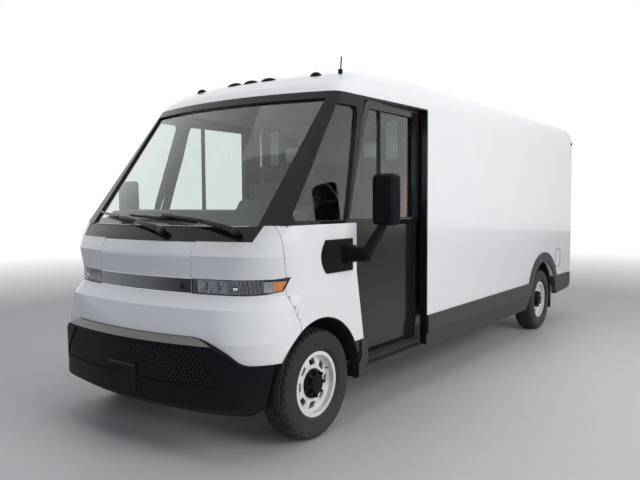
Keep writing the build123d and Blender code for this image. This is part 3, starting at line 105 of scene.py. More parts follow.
def put(tree: Tree, kind: str, inputs: Optional[dict] = None, **settings) -> bpy.types.Node:
    """Add one node and fill its sockets.

    Args:
        tree: Node tree that gets the node.
        kind: Blender's name for the node type, after its common beginning.
        inputs: Socket names or numbers with a value, or an output to link from.
        settings: Plain properties of the node.

    Returns:
        The new node.
    """
    node = tree.nodes.new("ShaderNode" + kind)
    for key, value in settings.items():
        setattr(node, key, value)
    for key, value in (inputs or {}).items():
        if isinstance(value, Socket):
            tree.links.new(value, node.inputs[key])
        else:
            node.inputs[key].default_value = value
    return node


def reckon(tree: Tree, operation: str, *values, clamp: bool = False) -> Socket:
    """Add a math node.

    Args:
        tree: Node tree that gets the node.
        operation: Blender's name for the sum.
        values: Numbers or outputs, in order.
        clamp: Whether the result is held between 0 and 1.

    Returns:
        The node's output socket.
    """
    return put(tree, "Math", dict(enumerate(values)), operation=operation, use_clamp=clamp).outputs[0]


def mix_colour(tree: Tree, factor: Socket, first: Colour | Socket, second: Colour | Socket) -> Socket:
    """Mix two colours.

    Args:
        tree: Node tree that gets the node.
        factor: Share of the second colour.
        first: Colour or output.
        second: Colour or output.

    Returns:
        The mixed colour's output socket.
    """
    ends = {index: value if isinstance(value, Socket) else (*value, 1.0)
            for index, value in ((6, first), (7, second))}
    return put(tree, "Mix", {0: factor, **ends}, data_type="RGBA").outputs[2]


def mix_shader(tree: Tree, factor: Socket, first: bpy.types.Node, second: bpy.types.Node,
               output: bpy.types.Node) -> None:
    """Mix two shaders by a factor and link them to the output node."""
    both = put(tree, "MixShader", {0: factor, 1: first.outputs[0], 2: second.outputs[0]})
    tree.links.new(both.outputs[0], output.inputs["Surface"])


def noise(tree: Tree, place: Socket, scale: float | Socket, detail: float) -> Socket:
    """Add a noise texture and return its value."""
    return put(tree, "TexNoise", {"Vector": place, "Scale": scale, "Detail": detail}).outputs["Fac"]


def object_place(tree: Tree) -> Socket:
    """The place on the object, in metres."""
    return put(tree, "TexCoord").outputs["Object"]


def new_group(name: str, given: str, wanted: Sequence[str]) -> tuple[Tree, Socket, bpy.types.Node]:
    """Start a node group.

    Args:
        name: Name of the group.
        given: Its one input.
        wanted: Its outputs.

    Returns:
        The tree, the input's socket and the output node.
    """
    tree = bpy.data.node_groups.new(name, "ShaderNodeTree")
    for end, way in ((given, "INPUT"), *((end, "OUTPUT") for end in wanted)):
        tree.interface.new_socket(end, in_out=way, socket_type="NodeSocketFloat")
    return tree, tree.nodes.new("NodeGroupInput").outputs[given], tree.nodes.new("NodeGroupOutput")


def pattern_group(pattern: Pattern) -> Tree:
    """Build or fetch the group for one pattern: input Scale, outputs Height and Tone.

    Args:
        pattern: Which small-scale structure.

    Returns:
        The node group.
    """
    name = "pattern_" + pattern.value
    if name in bpy.data.node_groups:
        return bpy.data.node_groups[name]
    tree, scale, outside = new_group(name, "Scale", ("Height", "Tone"))
    place = object_place(tree)

    def scaled(factor: float, detail: float = 2.0, vector: Optional[Socket] = None) -> Socket:
        """A noise texture at this many times the group's scale."""
        return noise(tree, vector or place, reckon(tree, "MULTIPLY", scale, factor), detail)

    def blend(first: Socket, share: float, second: Socket) -> Socket:
        """The share of one value and the rest of another."""
        return reckon(tree, "MULTIPLY_ADD", first, share, reckon(tree, "MULTIPLY", second, 1.0 - share))

    broad = scaled(0.02)
    if pattern is Pattern.RIPPLE:
        height = scaled(1.0)
    elif pattern is Pattern.GRAIN:
        cells = put(tree, "TexVoronoi", {"Vector": place, "Scale": scale})
        height = reckon(tree, "SUBTRACT", 1.0, cells.outputs["Distance"])
        broad = blend(height, 0.4, broad)
    elif pattern is Pattern.STREAKS:
        long = put(tree, "Mapping", {"Vector": place, "Scale": (0.02, 1.0, 1.0)})
        height = scaled(1.0, 4.0, long.outputs["Vector"])
        broad = blend(height, 0.5, broad)
    elif pattern is Pattern.WEAVE:
        waves = [put(tree, "TexWave", {"Vector": place, "Scale": scale},
                     bands_direction=axis).outputs["Fac"]
                 for axis in "XYZ"]
        height = reckon(tree, "MAXIMUM", reckon(tree, "MULTIPLY", waves[0], waves[1]), waves[2])
        broad = blend(height, 0.6, broad)
    elif pattern is Pattern.CAST:
        height = scaled(1.0, 8.0)
    elif pattern is Pattern.FADE:
        height = scaled(1.0)
        # Painted highlight: tone runs from 0 (bright) towards -X to 1 (dark) towards +X.
        across = put(tree, "SeparateXYZ", {0: place}).outputs["X"]
        broad = reckon(tree, "MULTIPLY_ADD", across, 1.1, 0.55, clamp=True)
    else:
        height = blend(scaled(1.0, 5.0), 0.7, scaled(0.1))
    tree.links.new(height, outside.inputs["Height"])
    tree.links.new(broad, outside.inputs["Tone"])
    return tree


def dust_group() -> Tree:
    """Build or fetch the dust mask: input Top, output Mask, thicker near the ground.

    Returns:
        The node group.
    """
    if "road_dust" in bpy.data.node_groups:
        return bpy.data.node_groups["road_dust"]
    tree, top, outside = new_group("road_dust", "Top", ("Mask",))
    place = object_place(tree)
    height = put(tree, "SeparateXYZ", {0: place}).outputs["Z"]
    near = reckon(tree, "SUBTRACT", 1.0, reckon(tree, "DIVIDE", height, top), clamp=True)
    patches, fine = noise(tree, place, 9.0, 6.0), noise(tree, place, 160.0, 3.0)
    both = reckon(tree, "MULTIPLY", patches, reckon(tree, "ADD", fine, 0.5))
    tree.links.new(reckon(tree, "MULTIPLY", near, both, clamp=True), outside.inputs["Mask"])
    return tree


def material_of(name: str, wire: Callable[[Tree, bpy.types.Node], None]) -> bpy.types.Material:
    """Fetch a material, or make it.

    Args:
        name: Name of the material.
        wire: Adds its nodes to the tree around the Principled shader.

    Returns:
        The node-based material.
    """
    if name in bpy.data.materials:
        return bpy.data.materials[name]
    material = bpy.data.materials.new(name)
    material.use_nodes = True
    wire(material.node_tree, material.node_tree.nodes["Principled BSDF"])
    return material


@dataclass(frozen=True)
class Finish:
    """An opaque surface: colour, pattern, gloss and the dust it has gathered."""

    name: str
    colour: Colour
    shade: Colour
    pattern: Pattern
    scale: float
    depth: float
    rough: float
    spread: float = 0.1
    metallic: float = 0.0
    coat: float = 0.0
    specular: float = 0.5
    dust: float = 0.0
    dust_top: float = 1.0
    glow: float = 0.0
    coat_rough: float = 0.04
    bump: float = 0.6
    dust_rough: float = 0.4
    dust_colour: Colour = (0.36, 0.33, 0.29)

    def wire(self, tree: Tree, shader: bpy.types.Node) -> None:
        """Add the nodes of the finish around its shader."""
        group = put(tree, "Group", {"Scale": self.scale}, node_tree=pattern_group(self.pattern))
        tone = group.outputs["Tone"]
        colour = mix_colour(tree, tone, self.colour, self.shade)
        rough = reckon(tree, "MULTIPLY_ADD", tone, self.spread, self.rough - self.spread / 2)
        if self.dust:
            dust = put(tree, "Group", {"Top": self.dust_top}, node_tree=dust_group())
            mask = reckon(tree, "MULTIPLY", dust.outputs["Mask"], self.dust, clamp=True)
            colour = mix_colour(tree, mask, colour, self.dust_colour)
            rough = reckon(tree, "MULTIPLY_ADD", mask, self.dust_rough, rough, clamp=True)
        height = group.outputs["Height"]
        bump = put(tree, "Bump", {"Strength": self.bump, "Distance": self.depth, "Height": height})
        links = {"Base Color": colour, "Roughness": rough, "Normal": bump.outputs["Normal"]}
        plain = {"Metallic": self.metallic, "Coat Weight": self.coat, "Coat Roughness": self.coat_rough,
                 "Specular IOR Level": self.specular}
        # glow makes the surface shine in its own colour: painted light on the lenses of lamps that are
        # not lit.
        if self.glow:
            links["Emission Color"] = colour
            plain["Emission Strength"] = self.glow
        for name, socket in links.items():
            tree.links.new(socket, shader.inputs[name])
        for name, value in plain.items():
            shader.inputs[name].default_value = value

    def build(self) -> bpy.types.Material:
        """The finish as a material."""
        return material_of(self.name, self.wire)


@dataclass(frozen=True)
class ClearFinish:
    """Clear or tinted glass and lenses, which let light through to what is behind."""

    name: str
    tint: Colour
    smear: Colour
    shadow: Colour
    ior: float = 1.45

    def wire(self, tree: Tree, shader: bpy.types.Node) -> None:
        """Add the nodes of the glass: refraction to the eye, plain passing of light to shadows."""
        film = noise(tree, object_place(tree), 3.0, 5.0)
        tree.links.new(mix_colour(tree, film, self.tint, self.smear), shader.inputs["Base Color"])
        tree.links.new(reckon(tree, "MULTIPLY_ADD", film, 0.02, 0.0), shader.inputs["Roughness"])
        shader.inputs["Transmission Weight"].default_value = 1.0
        shader.inputs["IOR"].default_value = self.ior
        clear = put(tree, "BsdfTransparent", {"Color": (*self.shadow, 1.0)})
        path = put(tree, "LightPath")
        passing = reckon(tree, "MAXIMUM", path.outputs["Is Shadow Ray"], path.outputs["Is Diffuse Ray"])
        mix_shader(tree, passing, shader, clear, tree.nodes["Material Output"])

    def build(self) -> bpy.types.Material:
        """The glass as a material."""
        return material_of(self.name, self.wire)


WHITE_PAINT = Finish("gloss white paint", (0.86, 0.87, 0.89), (0.82, 0.835, 0.86), Pattern.RIPPLE, 260.0,
                     0.00002, 0.22, 0.08, coat=0.6, dust=0.25, dust_top=1.0)
RIM_PAINT = Finish("white rim enamel", (0.86, 0.86, 0.86), (0.74, 0.74, 0.73), Pattern.RIPPLE, 140.0,
                   0.00006, 0.3, 0.12, coat=0.4, dust=0.35, dust_top=0.75)
BLACK_PLASTIC = Finish("grained black plastic", (0.006, 0.007, 0.009), (0.013, 0.014, 0.017),
                       Pattern.GRAIN, 900.0, 0.00015, 0.42, 0.12, specular=0.06, dust=0.03, dust_top=0.6)
STUD_PLASTIC = Finish("glossier stud plastic", (0.012, 0.013, 0.016), (0.022, 0.024, 0.028),
                      Pattern.RIPPLE, 300.0, 0.0001, 0.24, 0.1, specular=0.5)
SILL_PLASTIC = Finish("weathered sill plastic", (0.028, 0.029, 0.028), (0.05, 0.05, 0.047), Pattern.GRAIN,
                      900.0, 0.00015, 0.5, 0.12, specular=0.35, dust=0.12, dust_top=0.8)
# A pale colour on the bumper's upward-facing ledge: a painted highlight, standing in for light reflected
# off the black plastic.
LEDGE_SHEEN = Finish("bumper ledge painted highlight", (0.3, 0.285, 0.26), (0.1, 0.097, 0.09), Pattern.STREAKS, 14.0,
                     0.0001, 0.28, 0.15, specular=0.5)
GLOSS_BLACK = Finish("gloss black panel", (0.006, 0.007, 0.008), (0.011, 0.012, 0.014), Pattern.RIPPLE,
                     220.0, 0.00002, 0.14, 0.06, coat=0.06, specular=0.22)
DOOR_BLACK = Finish("satin black door paint", (0.01, 0.0093, 0.0082), (0.016, 0.0147, 0.013),
                    Pattern.RIPPLE, 200.0,
                    0.00002, 0.13, 0.06, coat=0.1, specular=0.42, dust=0.04, dust_top=0.9)
RUBBER = Finish("black rubber seal", (0.011, 0.011, 0.012), (0.02, 0.02, 0.021), Pattern.RUBBER, 300.0,
                0.0002, 0.6, 0.15, specular=0.3)
TYRE_RUBBER = Finish("tyre rubber", (0.013, 0.0135, 0.014), (0.026, 0.026, 0.026), Pattern.RUBBER, 120.0,
                     0.0006, 0.6, 0.2, specular=0.35, dust=0.12, dust_top=0.8)
# The bar's colour runs into its shade across X: a painted highlight, bright at the -X end and dark at the
# +X end.
SILVER_BAR = Finish("silver bar painted highlight", (0.5, 0.52, 0.545), (0.05, 0.054, 0.062), Pattern.FADE, 200.0,
                    0.00003, 0.2, 0.08, metallic=0.9, coat=0.2)
CHROME = Finish("lamp chrome", (0.82, 0.83, 0.85), (0.66, 0.67, 0.7), Pattern.RIPPLE, 90.0, 0.00005, 0.08,
                0.06, metallic=1.0)
DARK_CHROME = Finish("dark lamp chrome", (0.09, 0.093, 0.1), (0.4, 0.41, 0.43), Pattern.GRAIN, 110.0,
                     0.0016, 0.14, 0.1, metallic=0.95)
LAMP_DARK = Finish("lamp bezel", (0.05, 0.053, 0.06), (0.1, 0.105, 0.115), Pattern.RIPPLE, 120.0, 0.0001,
                   0.25, 0.1, metallic=0.5)
FRAME_PAINT = Finish("chassis paint", (0.03, 0.03, 0.031), (0.055, 0.053, 0.05), Pattern.CAST, 90.0,
                     0.0004, 0.5, 0.2, dust=0.7, dust_top=0.9)
BARE_STEEL = Finish("machined steel", (0.42, 0.41, 0.4), (0.3, 0.28, 0.26), Pattern.STREAKS, 160.0,
                    0.0001, 0.32, 0.15, metallic=0.95)
BATTERY_CASE = Finish("battery casting", (0.33, 0.34, 0.35), (0.24, 0.245, 0.25), Pattern.CAST, 120.0,
                      0.0003, 0.42, 0.12, metallic=0.8, dust=0.5, dust_top=0.6)
CAB_DARK = Finish("dark cab plastic", (0.03, 0.031, 0.034), (0.052, 0.053, 0.057), Pattern.GRAIN, 650.0,
                  0.0003, 0.5, 0.15)
SEAT_CLOTH = Finish("charcoal seat cloth", (0.03, 0.031, 0.034), (0.085, 0.087, 0.092), Pattern.WEAVE,
                    260.0, 0.0006, 0.88, 0.1)
WEBBING = Finish("orange belt webbing", (0.55, 0.13, 0.02), (0.42, 0.09, 0.015), Pattern.WEAVE, 420.0,
                 0.0005, 0.7, 0.1)
FLOOR_MAT = Finish("ribbed floor mat", (0.06, 0.06, 0.062), (0.1, 0.1, 0.1), Pattern.RUBBER, 160.0,
                   0.0006, 0.65, 0.15)
SATIN_ALLOY = Finish("satin aluminium", (0.62, 0.63, 0.64), (0.5, 0.51, 0.52), Pattern.STREAKS, 260.0,
                     0.00008, 0.3, 0.12, metallic=1.0)
# glow: painted light, the unlit side lamp's lens made to shine.
AMBER = Finish("amber lens", (0.86, 0.27, 0.01), (0.72, 0.2, 0.005), Pattern.GRAIN, 320.0, 0.0006, 0.12,
               0.05, coat=0.6, glow=0.12)
# glow: painted light, the unlit tail and corner lamps' lenses made to shine.
RED_LENS = Finish("red lens", (0.42, 0.008, 0.008), (0.28, 0.004, 0.004), Pattern.GRAIN, 300.0, 0.0006,
                  0.14, 0.05, coat=0.6, glow=0.05)
MIRROR_GLASS = Finish("mirror glass", (0.7, 0.72, 0.74), (0.66, 0.68, 0.7), Pattern.RIPPLE, 20.0, 0.00001,
                      0.03, 0.02, metallic=1.0)
# Dark grey-green bulkhead lining: partly the lining's own grey, partly painted shade of the cab's inside.
CAB_GREY = Finish("cab lining with painted shade", (0.1, 0.108, 0.104), (0.14, 0.15, 0.145), Pattern.GRAIN, 420.0,
                  0.0002, 0.6, 0.15)
# On the bulkhead's panes this pale colour is painted light, standing in for bright light seen through
# them; on the reverse lenses it is the lens's own white.
PALE_PANE = Finish("pale pane painted backlight and white lens", (0.62, 0.66, 0.66), (0.52, 0.56, 0.56), Pattern.RIPPLE, 30.0,
                   0.00005, 0.22, 0.1, coat=0.3)
SCREEN = Finish("dark display", (0.006, 0.008, 0.012), (0.012, 0.016, 0.024), Pattern.RIPPLE, 60.0,
                0.00001, 0.08, 0.04, coat=0.8)
WINDOW_GLASS = ClearFinish("tinted window glass", (0.84, 0.9, 0.885), (0.8, 0.86, 0.85),
                           (0.72, 0.78, 0.77))
LENS_GLASS = ClearFinish("clear lamp lens", (0.95, 0.96, 0.97), (0.9, 0.92, 0.94), (0.85, 0.87, 0.9))

CAD_FINISHES: dict[str, Finish | ClearFinish] = {node: finish for finish, nodes in (
    (FRAME_PAINT, "frame_rails front_suspension rear_suspension"),
    (BATTERY_CASE, "battery_pack drive_unit"),
    (BARE_STEEL, "knuckle_left knuckle_right"),
    (FLOOR_MAT, "floor_pan"),
    (WHITE_PAINT,
     "cargo_side_left cargo_side_right roof nose_fascia hood_corners hood_panel front_fenders "
                  "rear_frame rear_door charge_port_door"),
    (GLOSS_BLACK, "cab_frame cowl_panel"),
    (BLACK_PLASTIC, "marker_lamps antenna front_bumper rear_bumper mirrors wipers"),
    (SILL_PLASTIC, "rockers"), (RUBBER, "wheel_liners"), (DOOR_BLACK, "door_left door_right"),
    (WINDOW_GLASS, "windshield quarter_windows door_glass_left door_glass_right"),
    (LENS_GLASS, "headlamps"), (SILVER_BAR, "light_bar"), (RED_LENS, "tail_lamps"),
    (CAB_DARK, "door_pockets dashboard steering_wheel"), (CAB_GREY, "bulkhead"), (SEAT_CLOTH, "seats"),
    (TYRE_RUBBER, "tyre_front_left tyre_front_right tyre_rear_left tyre_rear_right"),
    (RIM_PAINT, "rim_front_left rim_front_right rim_rear_left rim_rear_right")) for node in nodes.split()}


def paint_frame() -> None:
    """Give every node of the frame its finish."""
    for name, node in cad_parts.items():
        node.data.materials.clear()
        node.data.materials.append(CAD_FINISHES[name].build())


# ---- Modelling helpers -------------------------------------------------------------------------
def take(piece: Optional[Piece] = None) -> None:
    """Leave edit mode and select one piece only, or nothing."""
    if bpy.context.object and bpy.context.object.mode != "OBJECT":
        bpy.ops.object.mode_set(mode="OBJECT")
    bpy.ops.object.select_all(action="DESELECT")
    if piece:
        piece.select_set(True)
        bpy.context.view_layer.objects.active = piece


def fresh(name: str) -> Piece:
    """Name the primitive that was just added, and return it."""
    piece = bpy.context.object
    piece.name = piece.data.name = name
    return piece


def settle(piece: Piece) -> Piece:
    """Apply a piece's place, turn and size to its mesh."""
    take(piece)
    bpy.ops.object.transform_apply(location=True, rotation=True, scale=True)
    return piece


def edit(piece: Piece, action: str = "SELECT", kind: str = "FACE") -> None:
    """Enter a piece's edit mode with all of it selected, or none of it."""
    take(piece)
    bpy.ops.object.mode_set(mode="EDIT")
    bpy.ops.mesh.select_mode(type=kind)
    bpy.ops.mesh.select_all(action=action)


def done() -> None:
    """Leave edit mode."""
    bpy.ops.object.mode_set(mode="OBJECT")


def facing(axis: int, way: int, least: float = 0.9) -> FaceTest:
    """A test for faces that look along an axis, or against it."""
    return lambda middle, normal: normal[axis] * way > least


LEFT, RIGHT, REAR, FRONT, TOP, BELOW = (facing(axis, way) for axis in range(3) for way in (1, -1))


def pick(piece: Piece, test: FaceTest) -> None:
    """Enter edit mode with the faces selected that pass a test of their middle and normal."""
    edit(piece, "DESELECT")
    done()
    for face in piece.data.polygons:
        face.select = test(face.center, face.normal)
    bpy.ops.object.mode_set(mode="EDIT")


def recess(piece: Piece, test: FaceTest, margin: float, depth: float, apart: bool = False) -> None:
    """Inset the chosen faces and push them in.

    Args:
        piece: Mesh that is changed.
        test: Chooses faces by middle and normal.
        margin: Width of the rim that is left.
        depth: How far the middle sinks.
        apart: Whether each face is inset alone.
    """
    pick(piece, test)
    bpy.ops.mesh.inset(thickness=margin, depth=-depth, use_individual=apart)
    done()


def shift_faces(piece: Piece, test: FaceTest, offset: Point, size: Point = (1, 1, 1)) -> None:
    """Move the chosen faces by an offset and resize them."""
    pick(piece, test)
    bpy.ops.transform.translate(value=offset)
    bpy.ops.transform.resize(value=size)
    done()


def tidy_mesh(piece: Piece, merge: float = 1e-5) -> None:
    """Merge doubles and turn the faces outwards."""
    edit(piece)
    bpy.ops.mesh.remove_doubles(threshold=merge)
    bpy.ops.mesh.normals_make_consistent(inside=False)
    done()


def cut(piece: Piece, point: Point, normal: Point, clear: bool = False) -> None:
    """Cut a piece along a plane.

    Args:
        piece: Mesh that is cut.
        point: A place on the plane.
        normal: Its normal, which points at the side that may be cleared.
        clear: Whether the side that the normal points at is removed.
    """
    edit(piece)
    bpy.ops.mesh.bisect(plane_co=point, plane_no=normal, clear_outer=clear)
    done()


def modify(piece: Piece, kind: str, **settings) -> Piece:
    """Add a modifier with these settings and apply it."""
    take(piece)
    modifier = piece.modifiers.new(kind.lower(), kind)
    for key, value in settings.items():
        setattr(modifier, key, value)
    bpy.ops.object.modifier_apply(modifier=modifier.name)
    return piece


def bevelled(piece: Piece, width: float, segments: int = 3) -> Piece:
    """Round a piece's sharp edges."""
    return modify(piece, "BEVEL", width=width, segments=segments, limit_method="ANGLE",
                  angle_limit=SHARP_EDGE)


def slab(name: str, low: Point, high: Point, round_by: float = 0.0, segments: int = 3) -> Piece:
    """A box between two corners, with its edges rounded.

    Args:
        name: Name of the piece.
        low: Lowest corner.
        high: Highest corner.
        round_by: Radius of its edges, or 0 to leave them for later shaping.
        segments: Steps of the rounding.

    Returns:
        The piece.
    """
    take()
    bpy.ops.mesh.primitive_cube_add(size=1, location=[(a + b) / 2 for a, b in zip(low, high)])
    piece = fresh(name)
    piece.scale = [b - a for a, b in zip(low, high)]
    settle(piece)
    return bevelled(piece, round_by, segments) if round_by else piece


def panel(name: str, low: Point, high: Point, test: FaceTest, margin: float, depth: float,
          round_by: float, segments: int = 3) -> Piece:
    """A slab with one face sunk behind a rim, and its edges rounded.

    Args:
        name: Name of the piece.
        low: Lowest corner.
        high: Highest corner.
        test: Chooses the face that sinks.
        margin: Width of its rim.
        depth: How far it sinks.
        round_by: Radius of the edges.
        segments: Steps of the rounding.

    Returns:
        The piece.
    """
    piece = slab(name, low, high)
    recess(piece, test, margin, depth)
    return bevelled(piece, round_by, segments)


def ribbed(name: str, low: Point, high: Point, axis: int, count: int, test: FaceTest, margin: float,
           rise: float) -> Piece:
    """A slab parted into strips, each raised on its own.

    Args:
        name: Name of the piece.
        low: Lowest corner.
        high: Highest corner.
        axis: Axis across the strips.
        count: Number of strips.
        test: Chooses the side that is ribbed.
        margin: Half of the groove between two ribs.
        rise: How far a rib stands out.

    Returns:
        The piece.
    """
    piece = slab(name, low, high)
    normal = [float(number == axis) for number in range(3)]
    for step in range(1, count):
        place = low[axis] + (high[axis] - low[axis]) * step / count
        cut(piece, [place * part for part in normal], normal)
    recess(piece, test, margin, -rise, apart=True)
    return piece


def disc(name: str, centre: Point, radius: float, depth: float, axis: Point, sides: int = 32,
         end: Optional[float] = None) -> Piece:
    """A round or many-sided block on an axis, with an end that may be narrower.

    Args:
        name: Name of the piece.
        centre: Middle of the block.
        radius: Its radius.
        depth: Its length along the axis.
        axis: Direction of the axis.
        sides: Number of sides.
        end: Radius of the far end, or None for the same.

    Returns:
        The piece.
    """
    take()
    bpy.ops.mesh.primitive_cone_add(vertices=sides, radius1=radius,
                                    radius2=radius if end is None else end, depth=depth, location=centre,
                                    rotation=Vector(axis).to_track_quat("Z", "Y").to_euler())
    return settle(fresh(name))


def trace(name: str, places: Sequence[Vector]) -> Piece:
    """Draw edges through these places, and stay in edit mode with all of them selected."""
    take()
    bpy.ops.mesh.primitive_plane_add(size=0.01, location=places[0])
    piece = settle(fresh(name))
    edit(piece, kind="VERT")
    bpy.ops.mesh.merge(type="CENTER")
    for start, stop in zip(places, places[1:]):
        bpy.ops.mesh.extrude_vertices_move(TRANSFORM_OT_translate={"value": stop - start})
    bpy.ops.mesh.select_all(action="SELECT")
    return piece


def lathe(name: str, profile: Sequence[Pair], centre: Point, axis: Point, steps: int = 48,
          closed: bool = False) -> Piece:
    """Trace a profile and spin it.

    Args:
        name: Name of the piece.
        profile: Places as (radius, distance along the axis).
        centre: Where the axis starts.
        axis: Direction of the axis.
        steps: Steps of the spin.
        closed: Whether the profile is a closed loop.

    Returns:
        The piece.
    """
    along = Vector(axis).normalized()
    side = along.orthogonal().normalized()
    places = [Vector(centre) + side * radius + along * distance for radius, distance in profile]
    piece = trace(name, places + places[:1] if closed else places)
    bpy.ops.mesh.spin(steps=steps, angle=2 * math.pi, center=centre, axis=along)
    done()
    tidy_mesh(piece)
    return piece


def ribbon(name: str, points: Sequence[Point], across: Point, thick: float) -> Piece:
    """A flat strap along a path.

    Args:
        name: Name of the piece.
        points: Places that its middle passes.
        across: Direction and width across it.
        thick: Its thickness.

    Returns:
        The piece.
    """
    piece = trace(name, [Vector(point) - Vector(across) / 2 for point in points])
    bpy.ops.mesh.extrude_edges_move(TRANSFORM_OT_translate={"value": across})
    done()
    return modify(piece, "SOLIDIFY", thickness=thick, offset=0.0)


def tube(name: str, points: Sequence[Point], radius: float, smooth: bool = True, rings: int = 3,
         closed: bool = False) -> Piece:
    """A round bar along a path.

    Args:
        name: Name of the piece.
        points: Places it passes.
        radius: Its radius.
        smooth: Whether the path is a smooth curve.
        rings: Fineness of the round section.
        closed: Whether the path comes back to its start.

    Returns:
        The piece as a mesh.
    """
    take()
    bpy.ops.curve.primitive_nurbs_path_add()
    path = bpy.context.object
    path.data.splines.clear()
    run = path.data.splines.new("NURBS" if smooth else "POLY")
    run.points.add(len(points) - 1)
    for spot, place in zip(run.points, points):
        spot.co = (*place, 1.0)
    if smooth:
        run.order_u = 3
        run.use_endpoint_u = True
    run.use_cyclic_u = closed
    path.location = (0, 0, 0)
    path.data.bevel_depth = radius
    path.data.bevel_resolution = rings
    path.data.use_fill_caps = True
    bpy.ops.object.convert(target="MESH")
    piece = fresh(name)
    tidy_mesh(piece)
    return piece


def strut(name: str, start: Point, end: Point, start_size: Pair, end_size: Pair, up: Point,
          round_by: float) -> Piece:
    """A tapered bar between two places, with rounded edges.

    Args:
        name: Name of the piece.
        start: Middle of the first end.
        end: Middle of the other end.
        start_size: Width and height of the first end.
        end_size: Width and height of the other end.
        up: Direction of its height.
        round_by: Radius of its edges.

    Returns:
        The piece.
    """
    line = Vector(end) - Vector(start)
    along = line.normalized()
    side = Vector(up).cross(along).normalized()
    wide, high = (size / 2 for size in start_size)
    piece = slab(name, (0, -wide, -high), (line.length, wide, high))
    shift_faces(piece, LEFT, (0, 0, 0), (1, end_size[0] / start_size[0], end_size[1] / start_size[1]))
    bevelled(piece, round_by, 2)
    turn = Matrix((along, side, along.cross(side).normalized())).transposed().to_4x4()
    piece.data.transform(Matrix.Translation(start) @ turn)
    return piece


def join(name: str, members: Iterable[Piece]) -> Piece:
    """Join several meshes into one piece."""
    members = list(members)
    take(members[0])
    for member in members[1:]:
        member.select_set(True)
    if len(members) > 1:
        bpy.ops.object.join()
    return fresh(name)


def drop(*models: Piece) -> None:
    """Remove models that have been copied."""
    for model in models:
        bpy.data.objects.remove(model)


def copy_of(piece: Piece, name: str, change: Matrix = Matrix.Identity(4)) -> Piece:
    """A copy with its own mesh, moved, turned or mirrored by a matrix."""
    twin = piece.copy()
    twin.data = piece.data.copy()
    twin.name = twin.data.name = name
    bpy.context.scene.collection.objects.link(twin)
    twin.data.transform(change)
    if change.determinant() < 0:
        twin.data.flip_normals()
    return twin


def skin_copy(node: str, name: str, test: Optional[FaceTest] = None) -> Piece:
    """A merged copy of a frame node's mesh, or of the faces that pass a test."""
    piece = copy_of(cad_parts[node], name)
    piece.parent = None
    for key in list(piece.keys()):
        del piece[key]
    piece.hide_render = piece.hide_viewport = False
    edit(piece)
    bpy.ops.mesh.remove_doubles(threshold=WELD)
    done()
    bpy.ops.mesh.customdata_custom_splitnormals_clear()
    if test:
        pick(piece, lambda middle, normal: not test(middle, normal))
        bpy.ops.mesh.delete(type="FACE")
        done()
    return piece


def round_edges(piece: Piece, turn: Pair, width: float, segments: int) -> None:
    """Bevel the edges whose two faces turn by an angle within a range.

    Args:
        piece: Mesh that is changed.
        turn: Least and greatest angle in degrees.
        width: Width of the bevel.
        segments: Steps of the rounding.
    """
    faces = piece.data.polygons
    low, high = turn
    beside: dict[tuple[int, int], list[int]] = {}
    for face in faces:
        for key in face.edge_keys:
            beside.setdefault(key, []).append(face.index)
    chosen = {key for key, pair in beside.items() if len(pair) == 2
              and low <= math.degrees(faces[pair[0]].normal.angle(faces[pair[1]].normal, 0.0)) <= high}
    edit(piece, "DESELECT", "EDGE")
    done()
    for edge in piece.data.edges:
        edge.select = edge.key in chosen
    bpy.ops.object.mode_set(mode="EDIT")
    bpy.ops.mesh.bevel(offset=width, segments=segments, affect="EDGES", clamp_overlap=True)
    bpy.ops.mesh.select_all(action="SELECT")
    bpy.ops.mesh.dissolve_degenerate(threshold=WELD)
    done()


def dissolve(piece: Piece, angle: float = 0.6) -> None:
    """Dissolve the edges between faces that lie in one plane, within an angle in degrees."""
    edit(piece)
    bpy.ops.mesh.dissolve_limited(angle_limit=math.radians(angle))
    done()


def rim_loops(piece: Piece) -> list[list[Vector]]:
    """Closed runs of places round a mesh's open edges.

    Args:
        piece: An open mesh.

    Returns:
        One list of places for each loop, without the places along straight runs.
    """
    count: dict[tuple[int, int], int] = {}
    for face in piece.data.polygons:
        for key in face.edge_keys:
            count[key] = count.get(key, 0) + 1
    links: dict[int, list[int]] = {}
    for (first, second), uses in count.items():
        if uses == 1:
            links.setdefault(first, []).append(second)
            links.setdefault(second, []).append(first)
    loops = []
    while links:
        start = next(iter(links))
        run, here = [start], start
        while links.get(here):
            there = links[here].pop()
            links[there].remove(here)
            if there == start:
                break
            run.append(there)
            here = there
        links = {key: ends for key, ends in links.items() if ends}
        places = [piece.data.vertices[index].co.copy() for index in run]
        if len(places) > 2:
            loops.append([b for a, b, c in zip(places[-1:] + places[:-1], places, places[1:] + places[:1])
                          if (b - a).length > SHORT and (b - a).angle(c - b, 1.0) > STRAIGHT])
    return loops


def rim_tube(node: str, name: str, test: FaceTest, radius: float, least: float = 0.3) -> Piece:
    """A round seal along the outline of part of a frame node.

    Args:
        node: Frame node that it follows.
        name: Name of the seal.
        test: Chooses the node's faces whose outline is followed.
        radius: Radius of the seal.
        least: Outlines shorter than this are left out.

    Returns:
        The seal.
    """
    patch = skin_copy(node, name + "_patch", test)
    loops = [loop for loop in rim_loops(patch)
             if sum((b - a).length for a, b in zip(loop, loop[1:])) > least]
    seals = [tube(name, loop, radius, smooth=False, rings=1, closed=True) for loop in loops]
    drop(patch)
    return join(name, seals)


def surface(node: str) -> BVHTree:
    """A frame node's surface, ready to be met by rays."""
    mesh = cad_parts[node].data
    return BVHTree.FromPolygons([v.co for v in mesh.vertices], [tuple(p.vertices) for p in mesh.polygons])


def from_front(skin: BVHTree, x: float, z: float) -> tuple[Optional[Vector], Optional[Vector]]:
    """Place and normal where a line from ahead of the van, at this x and z, meets a surface."""
    return skin.ray_cast(Vector((x, -OUTSIDE, z)), Vector(AXIS_Y))[:2]


